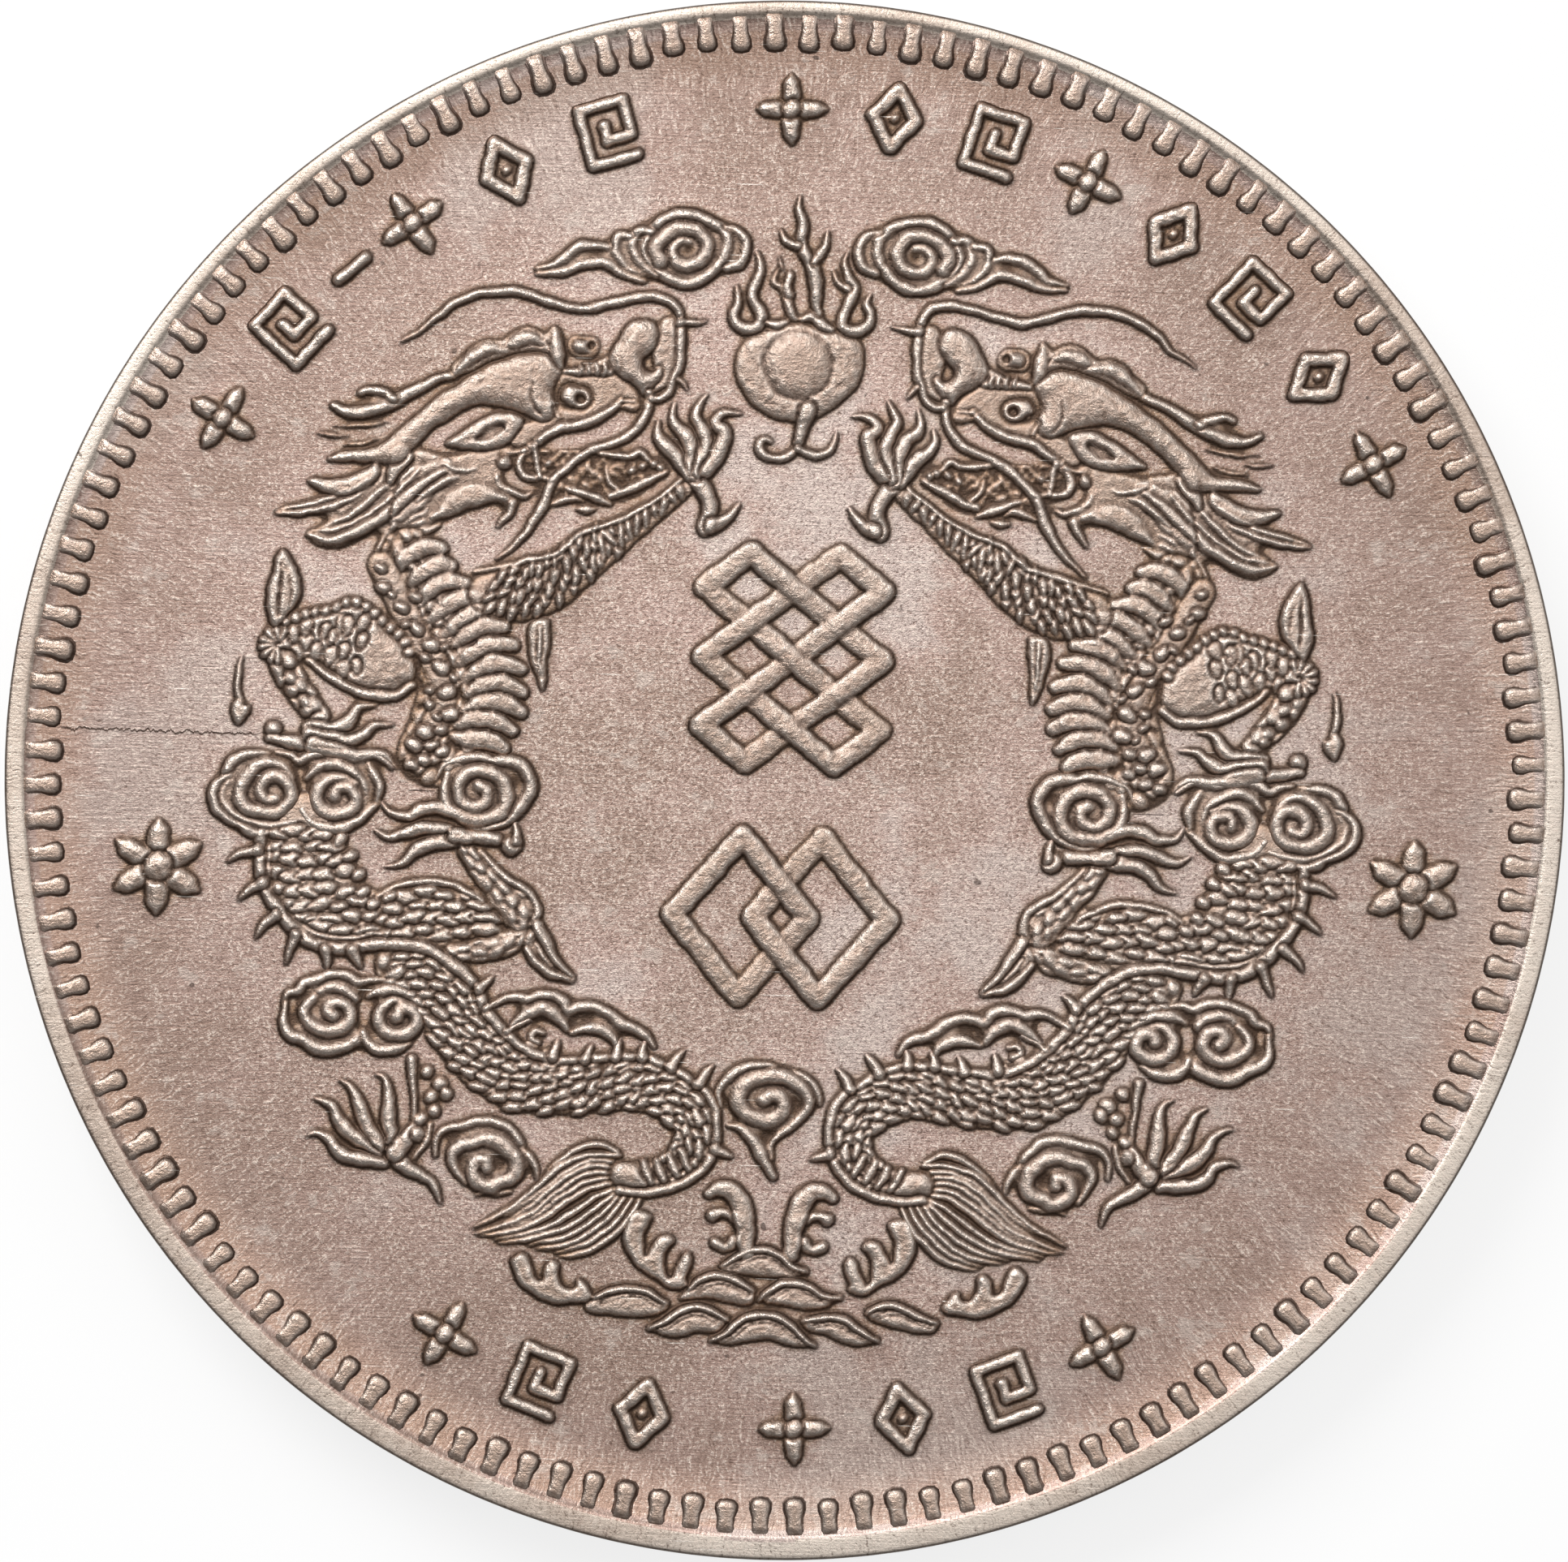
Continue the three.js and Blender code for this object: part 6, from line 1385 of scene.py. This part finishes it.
def cut_leaf_fin():
    """The narrow leaf that hangs behind the neck."""
    cut = Relief((-7.0, 2.0), (-6.1, 4.2))
    cut.leaf([-6.8, 3.9, -6.5, 4.02, -6.28, 3.9, -6.34, 3.06, -6.42, 2.16, -6.68, 2.7, -6.84, 3.3], 0.13,
        0.2)
    cut.strand([-6.55, 3.8, -6.55, 3.1, -6.48, 2.5], [0.05, 0.06, 0.02], carry=0.8, moat=0.05)
    return cut


# Ornaments that fill the middle and the border


def triangle_wave(t):
    """A straight swing between 1 and -1."""
    return 2 * abs((t % 1) * 2 - 1) - 1


def plait_corners(centre, half_size, across, along):
    """Corners of a strand that crosses a panel on the diagonal and turns back at each edge."""
    turns = {i / (2 * across) for i in range(2 * across)}
    turns |= {((i + 0.5) / (2 * along)) % 1 for i in range(2 * along)}
    corners = []
    for t in sorted(turns):
        x = centre[0] + half_size[0] * triangle_wave(across * t)
        y = centre[1] + half_size[1] * triangle_wave(along * t + 0.25)
        corners.append((x, y))
    return np.array(corners)


def crossing(a, b, c, d):
    """How far along a-b and c-d two bars cross, or None."""
    first, second, between = b - a, d - c, c - a
    twist = first[0] * second[1] - first[1] * second[0]
    if abs(twist) < 1e-9:
        return None
    t = (between[0] * second[1] - between[1] * second[0]) / twist
    u = (between[0] * first[1] - between[1] * first[0]) / twist
    return (t, u) if 0.01 < t < 0.99 and 0.01 < u < 0.99 else None


def weave(cut, loops, half):
    """Closed straight-barred strands that pass over and under one another in turn."""
    bars = []
    for n, loop in enumerate(loops):
        bars += [(n, i, start, end) for i, (start, end) in enumerate(zip(loop, np.roll(loop, -1, axis=0)))]
    meetings = {n: [] for n in range(len(loops))}
    for order, (n, i, a, b) in enumerate(bars):
        for other, j, c, d in bars[order + 1:]:
            met = crossing(a, b, c, d)
            if met:
                place = tuple(np.round(a + (b - a) * met[0], 4))
                meetings[n].append((i + met[0], place))
                meetings[other].append((j + met[1], place))
    seen = {}
    for n, loop in enumerate(loops):
        places, tops = [], []
        for order, (along, place) in enumerate(sorted(meetings[n])):
            is_over = order % 2 == 0 if place not in seen or seen[place][0] == n else not seen[place][1]
            seen.setdefault(place, (n, is_over))
            places.append(along)
            tops.append(WEAVE_OVER if is_over else WEAVE_UNDER)
        route = np.vstack([loop, loop[:1]])
        fine = np.linspace(0, len(loop), int(len(loop) * 90))
        points = np.stack([np.interp(fine, np.arange(len(route)), route[:, axis]) for axis in (0, 1)], 1)
        places = [places[-1] - len(loop)] + places + [places[0] + len(loop)]
        tops = [tops[-1]] + tops + [tops[0]]
        top = np.interp(fine, places, tops)
        window, edge, dome = cut.brush(points, np.full(len(points), half), top, 0.28)
        cut.height[window] = np.maximum(cut.height[window], dome)


def cut_centre_knot():
    """A plaited knot above the middle."""
    cut = Relief((-2.6, 0.1), (2.8, 6.3))
    weave(cut, [plait_corners((0.1, 3.2), (2.35, 2.75), 3, 2)], 0.3)
    return cut


def lozenge(centre, half_width, half_height):
    """The corners of a diamond."""
    x, y = centre
    return np.array([(x + half_width, y), (x, y + half_height), (x - half_width, y), (x, y - half_height)])


def cut_centre_lozenges():
    """Two joined diamonds below the middle."""
    cut = Relief((-3.2, -6.2), (3.2, -1.0))
    weave(cut, [lozenge((x, -3.6), 1.78, 2.1) for x in (-1.05, 1.05)], 0.3)
    return cut


def placed(points, place, angle):
    """A small pattern turned and moved to its place on the coin."""
    cos, sin = math.cos(angle), math.sin(angle)
    return np.array([(place[0] + x * cos - y * sin, place[1] + x * sin + y * cos) for x, y in pairs(points)])


def draw_flower(cut, place, angle, count, reach, half, hub):
    """Petals round a raised middle."""
    for petal in range(count):
        turn = angle + 2 * math.pi * petal / count
        line = [(0, 0.3 * hub), (0, 0.6 * reach), (0, reach)]
        widths = [0.6 * half, half, 0.9 * half, 0.03]
        cut.strand(placed(line, place, turn), widths, top=[0.1, 0.15, 0.14, 0.05], carry=0, moat=0.05)
    cut.ball(place, hub, top=0.16, carry=0.1)


def draw_charge(cut, kind, place, angle):
    """One small border ornament."""
    if kind == "floret":
        draw_flower(cut, place, angle, 4, 0.93, 0.24, 0.26)
    elif kind == "lozenge":
        cut.bar(straight(placed([0.57, 0, 0, 0.78, -0.57, 0, 0, -0.78], place, angle)), 0.17)
        cut.ball(place, 0.12, top=0.08)
    elif kind == "fret":
        corners = placed(FRET_CORNERS, place, angle)
        closing = int(np.hypot(*(corners[-1] - corners[0])) / BRUSH_STEP)
        cut.bar(straight(corners)[:-closing], 0.14)
    else:
        cut.strand(placed([-0.45, 0, 0.45, 0], place, angle), 0.17, top=ORNAMENT_TOP)


FRET_CORNERS = [0.6, -0.75, -0.6, -0.75, -0.6, 0.75, 0.6, 0.75, 0.6, -0.2, -0.05, -0.2, -0.05, 0.25]
UPPER_CHARGES = [
    (149.5, "floret"), (139.8, "fret"), (132.4, "dash"), (125.9, "floret"), (116.6, "lozenge"),
    (107.3, "fret"), (91.3, "floret"), (82.4, "lozenge"), (73.6, "fret"), (64.8, "floret"),
    (56.2, "lozenge"), (47.6, "fret"), (38.6, "lozenge"), (29.7, "floret"),
]
LOWER_CHARGES = [
    (240.6, "floret"), (249.8, "fret"), (259.3, "lozenge"), (272.7, "floret"), (282.3, "lozenge"),
    (291.7, "fret"), (300.9, "floret"),
]


def patch(centre, half):
    """A square patch of the die round a place."""
    x, y = centre
    return Relief((x - half, y - half), (x + half, y + half))


def strike_charges(name, charges, radius, turn):
    """The row of border ornaments along one arc."""
    for number, (degrees, kind) in enumerate(charges, 1):
        angle = math.radians(degrees)
        place = (radius * math.cos(angle), radius * math.sin(angle) + STRIKE_SHIFT)
        cut = patch(place, 1.1)
        draw_charge(cut, kind, place, angle + turn)
        strike(cut, f"{name}_{number:02d}")


def strike_both(node, cut):
    """The same form on the left and, turned over, on the right."""
    strike(cut, "left_" + node)
    strike(cut, "right_" + node, mirrored=True)


strike_both("dragon_forequarters", cut_forequarters())
strike_both("dragon_hindquarters", cut_hindquarters())
for node, ridges in SIDE_CLOUDS.items():
    strike_both(node, cut_ridges(ridges))
strike(cut_ridges(BOTTOM_CLOUD), "bottom_cloud")
strike(cut_pearl(), "flaming_pearl")
strike(cut_sea(), "sea_waves")
strike_both("spray_arm", cut_spray_arm())
strike_both("spark_flame", cut_spark())
strike_both("leaf_fin", cut_leaf_fin())
strike(cut_centre_knot(), "centre_knot")
strike(cut_centre_lozenges(), "centre_lozenges")
for node, place in (("left_rosette", (-16.4, -2.8)), ("right_rosette", (16.6, -2.3))):
    rosette = patch(place, 1.4)
    draw_flower(rosette, place, 0.0, 6, 1.28, 0.32, 0.4)
    strike(rosette, node)
strike_charges("upper_ornament", UPPER_CHARGES, 17.5, -math.pi / 2)
strike_charges("lower_ornament", LOWER_CHARGES, 17.2, math.pi / 2)


# The other face: a rosette, a circle with beads and four ruyi heads


def cut_back_rosette():
    """The flower in the middle."""
    cut = patch((0, 0), 3.3)
    draw_flower(cut, (0, 0), 0.0, 8, 3.1, 0.62, 1.0)
    return cut


def cut_bead_circle():
    """A thin circle with a bead on every fourth part of it."""
    cut = patch((0, 0), 13.5)
    turns = np.linspace(0, 2 * math.pi, 12, endpoint=False)
    points = [(13 * math.cos(t), 13 * math.sin(t)) for t in turns]
    cut.strand(points, [0.1, 0.1, 0.36, 0.1] * 32 + [0.1], closed=True, crown=0.5)
    return cut


def cut_ruyi_head(angle):
    """A cloud-shaped head on a short stem, turned about the middle."""
    middle = (-7.5 * math.sin(angle), 7.5 * math.cos(angle))
    cut = patch(middle, 2.4)
    for side in (-1, 1):
        lobe = pairs([0, 1.2, 0.75, 2.1, 1.9, 1.6, 1.9, 0.4, 1, 0.2, 0.9, 0.9]) * (side, 1)
        cut.strand(placed(lobe, middle, angle), [0.26, 0.3, 0.3, 0.28, 0.26, 0.24])
    cut.strand(placed([0, 1.2, 0, -0.4, 0, -1.7], middle, angle), [0.3, 0.3, 0.12])
    return cut


back_work = {"back_rosette": cut_back_rosette(), "back_bead_circle": cut_bead_circle()}
for number in range(4):
    back_work[f"back_ruyi_head_{number + 1}"] = cut_ruyi_head(math.pi * number / 2)
for node, cut in back_work.items():
    strike(cut, node, BACK_FIELD, -1, silver=back_silver)


# The blank with its raised rims and reeded edge


class MeshTree(Tree):
    """A geometry node tree with named inputs."""

    def __init__(self, name, **kinds):
        super().__init__(bpy.data.node_groups.new(name, "GeometryNodeTree"))
        self.sockets = {}
        for label, kind in kinds.items():
            made = self.tree.interface.new_socket(label, in_out="INPUT", socket_type="NodeSocket" + kind)
            self.sockets[label] = made.identifier
        self.tree.interface.new_socket("Result", in_out="OUTPUT", socket_type="NodeSocketGeometry")
        self.given = self.node("NodeGroupInput").outputs

    def grow(self, obj, **values):
        """Runs the tree on an object and keeps the result as its plain mesh."""
        modifier = obj.modifiers.new("made", "NODES")
        modifier.node_group = self.tree
        for label, value in values.items():
            modifier[self.sockets[label]] = value
        bpy.context.view_layer.update()
        held = bpy.context.evaluated_depsgraph_get()
        mesh = bpy.data.meshes.new_from_object(obj.evaluated_get(held))
        obj.modifiers.remove(modifier)
        old, obj.data = obj.data, mesh
        bpy.data.meshes.remove(old)
        mesh.name = obj.name


def reed_tree():
    """A node tree that flutes the edge of a disc."""
    tree = MeshTree("reeded_edge", Disc="Geometry", Count="Float", Depth="Float", Start="Float",
                    Rounding="Float")
    given = tree.given
    x, y, z = tree.node("SeparateXYZ", {0: tree.node("GeometryNodeInputPosition")}).outputs
    angle = tree.maths("ARCTAN2", y, x)
    radius = tree.maths("SQRT", tree.plus(tree.times(x, x), tree.times(y, y)))
    wave = tree.times(tree.plus(tree.maths("COSINE", tree.times(angle, given["Count"])), 1.0), 0.5)
    valley = tree.minus(1.0, tree.maths("POWER", wave, given["Rounding"]))
    limits = {"Value": radius, "From Min": given["Start"], "From Max": tree.plus(given["Start"], 0.0001)}
    inward = tree.times(tree.times(valley, given["Depth"]), tree.node("MapRange", limits))
    scale = tree.minus(1.0, tree.maths("DIVIDE", inward, tree.maths("MAXIMUM", radius, 0.001)))
    spot = tree.node("CombineXYZ", {0: tree.times(x, scale), 1: tree.times(y, scale), 2: z})
    moved = tree.node("GeometryNodeSetPosition", {"Geometry": given["Disc"], "Position": spot})
    tree.node("NodeGroupOutput", {0: moved})
    return tree


def dish(radius):
    """How far the field has risen where it turns up to the rim."""
    return 0.17 * max(0.0, (radius - DISH_START) / (RIM_INNER - DISH_START)) ** 1.6


# Radius, height from the nearer face, hollow shade, and whether the ring follows the strike; the hollow shade
# is painted shade: a dark line at the foot of the rim's inner wall and a dark band round the outer bevel
FACE_RINGS = [
    *((r, dish(r) - FIELD_DEPTH, 0.0, True) for r in (5.0, 10.0, 15.0, 18.2, 18.5, 18.8, 19.1, 19.4, 19.7)),
    (19.88, dish(19.88) - FIELD_DEPTH, 0.15, True),
    (19.95, -0.06, 0.4, True), (19.98, -0.05, 0.2, True), (20.02, -0.015, 0.0, True),
    (20.08, -0.002, 0.0, True), (20.16, 0.0, 0.0, True), (20.34, -0.003, 0.0, False),
    (20.41, -0.01, 0.1, False), (20.44, -0.02, 0.75, False), (20.475, -0.04, 0.9, False),
    (20.492, -0.1, 0.85, False), (20.5, -0.2, 0.5, False), (20.5, -0.3, 0.1, False),
]


def turned_blank():
    """The disc of silver: both fields, both rims and the edge, turned as one form."""
    rings = []
    for radius, height, shade, shifted in FACE_RINGS:
        rings.append((radius, COIN_THICKNESS + height, shade, STRIKE_SHIFT if shifted else 0.0))
    for radius, height, shade, shifted in reversed(FACE_RINGS):
        rings.append((radius, -height, shade, 0.0))
    angles = np.arange(STEPS_ROUND) * 2 * math.pi / STEPS_ROUND
    # hollow holds the rings' painted shade
    points, hollow = [(0.0, STRIKE_SHIFT, DRAGON_FIELD)], [0.0]
    for radius, height, shade, shift in rings:
        points += [(radius * math.cos(t), radius * math.sin(t) + shift, height) for t in angles]
        hollow += [shade] * STEPS_ROUND
    points.append((0.0, 0.0, BACK_FIELD))
    hollow.append(0.0)
    starts = [1 + ring * STEPS_ROUND for ring in range(len(rings))]
    faces = []
    for step in range(STEPS_ROUND):
        after = (step + 1) % STEPS_ROUND
        faces.append((0, 1 + step, 1 + after))
        for inner, outer in zip(starts, starts[1:]):
            faces.append((inner + step, outer + step, outer + after, inner + after))
        faces.append((starts[-1] + after, starts[-1] + step, len(points) - 1))
    mesh = shaded_mesh("planchet_struck", points, faces, hollow=hollow)
    for silver in (relief_silver, rim_silver, back_silver):
        mesh.materials.append(silver)
    for face in mesh.polygons:
        middle = face.center
        if math.hypot(middle.x, middle.y) > (RIM_INNER + 0.02) * MM:
            face.material_index = 1
        elif middle.z < COIN_THICKNESS * MM / 2:
            face.material_index = 2
    return add_object("planchet_struck", mesh)


blank = turned_blank()
reed_tree().grow(blank, Count=float(EDGE_COUNT), Depth=REED_DEPTH * MM, Start=REED_START * MM, Rounding=0.6)
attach(blank, "root")
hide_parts("planchet")


# Denticles round both rims


def circle_tree(silver):
    """A node tree that sets copies of a mesh round a circle, each a little different."""
    tree = MeshTree("copies_round_a_circle", Copy="Geometry", Count="Int", Radius="Float", Centre="Vector",
                    Uneven="Float", Seed="Int")
    given = tree.given
    circle = tree.node("GeometryNodeMeshCircle", {"Vertices": given["Count"], "Radius": given["Radius"]})
    moved = tree.node("GeometryNodeSetPosition", {"Geometry": circle, "Offset": given["Centre"]})
    step = tree.maths("DIVIDE", 2 * math.pi, given["Count"])
    euler = tree.node("CombineXYZ", {2: tree.times(tree.node("GeometryNodeInputIndex"), step)})
    low, high = tree.minus(1, given["Uneven"]), tree.plus(1, given["Uneven"])
    limits = {"Min": low, "Max": high, "Seed": given["Seed"]}
    copies = tree.node("GeometryNodeInstanceOnPoints", {
        "Points": moved,
        "Instance": given["Copy"],
        "Rotation": tree.node("FunctionNodeEulerToRotation", {0: euler}),
        "Scale": tree.node("FunctionNodeRandomValue", limits, data_type="FLOAT_VECTOR"),
    })
    real = tree.node("GeometryNodeRealizeInstances", {0: copies})
    coated = tree.node("GeometryNodeSetMaterial", {"Geometry": real, "Material": silver})
    tree.node("NodeGroupOutput", {0: coated})
    return tree


# Half the outline of a denticle from the rim to its tip, with the point of its ridge beside each corner,
# and how dark the painted shade at its foot is there
DENTICLE_OUTLINE = [
    (0.1, 0.24), (-0.2, 0.19), (-0.4, 0.195), (-0.6, 0.25), (-0.76, 0.25), (-0.87, 0.165), (-0.9, 0.0),
]
DENTICLE_RIDGE = [0.1, -0.2, -0.42, -0.56, -0.62, -0.65, -0.66]
DENTICLE_SHADE = [0.4, 0.6, 0.8, 1.0, 1.0, 1.0, 1.0]
# Rings round it from the foot to the shoulder: reach, height, hollow (painted shade),
# crest (painted highlight) and raised shades
DENTICLE_RINGS = [
    (1.4, -0.02, 0.0, 0.0, 0.0), (1.18, 0.004, 0.8, 0.0, 0.0), (1.0, 0.04, 0.95, 0.0, 0.3),
    (0.8, 0.11, 0.1, 0.6, 0.8), (0.5, 0.13, 0.0, 0.3, 0.8),
]
DENTICLE_TOP = 0.128


def denticle(name, facing):
    """One tongue-shaped tooth with a rounded tip, painted shade at its foot and painted highlight on its
    shoulder.
    """
    corners = DENTICLE_OUTLINE + [(x, -y) for x, y in reversed(DENTICLE_OUTLINE[:-1])]
    ridge = DENTICLE_RIDGE + DENTICLE_RIDGE[-2::-1]
    shade = DENTICLE_SHADE + DENTICLE_SHADE[-2::-1]
    count = len(corners)
    rows = []
    for reach, height, dark, light, brown in DENTICLE_RINGS:
        for (x, y), spine, share in zip(corners, ridge, shade):
            rows.append((spine + (x - spine) * reach, y * reach, height, dark * share, light, brown))
    rows += [(spine, 0.0, DENTICLE_TOP, 0.0, 0.1, 1.0) for spine in DENTICLE_RIDGE]
    rings = [[ring * count + corner for corner in range(count)] for ring in range(len(DENTICLE_RINGS))]
    rings.append([len(rings) * count + min(corner, count - 1 - corner) for corner in range(count)])
    faces = []
    for outer, inner in zip(rings, rings[1:]):
        for corner in range(count - 1):
            face = (outer[corner], outer[corner + 1], inner[corner + 1], inner[corner])
            faces.append(tuple(dict.fromkeys(face)))
    faces.append(tuple(reversed(rings[0])))
    faces.append(tuple([ring[0] for ring in rings] + [ring[-1] for ring in rings[-2::-1]]))
    if facing < 0:
        faces = [face[::-1] for face in faces]
    points = []
    for x, y, z, *_ in rows:
        points.append((x, y, facing * (dish(RIM_INNER + min(x, 0)) + z * min(1, 0.35 - 0.93 * x))))
    hollow, crest, raised = list(zip(*rows))[3:]
    return add_object(name, shaded_mesh(name, points, faces, hollow=hollow, crest=crest, raised=raised))


for side, field, facing, shift, silver, slot in (
    ("dragon_side", DRAGON_FIELD, 1, STRIKE_SHIFT, relief_silver, "relief_silver"),
    ("back", BACK_FIELD, -1, 0.0, back_silver, "back_silver"),
):
    ring = denticle(side + "_denticle_ring", facing)
    centre = (0.0, shift * MM, field * MM)
    tree = circle_tree(silver)
    tree.grow(ring, Count=EDGE_COUNT, Radius=RIM_INNER * MM, Centre=centre, Uneven=0.09, Seed=4)
    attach(ring, "root")
    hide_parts(side + "_denticles")


# Everything left of the CAD frame takes its finish here

for name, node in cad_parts.items():
    if name == "planchet":
        finish = rim_silver
    elif name.startswith("back_"):
        finish = back_silver
    else:
        finish = relief_silver
    if not node.hide_render:
        node.data.materials.clear()
        node.data.materials.append(finish)
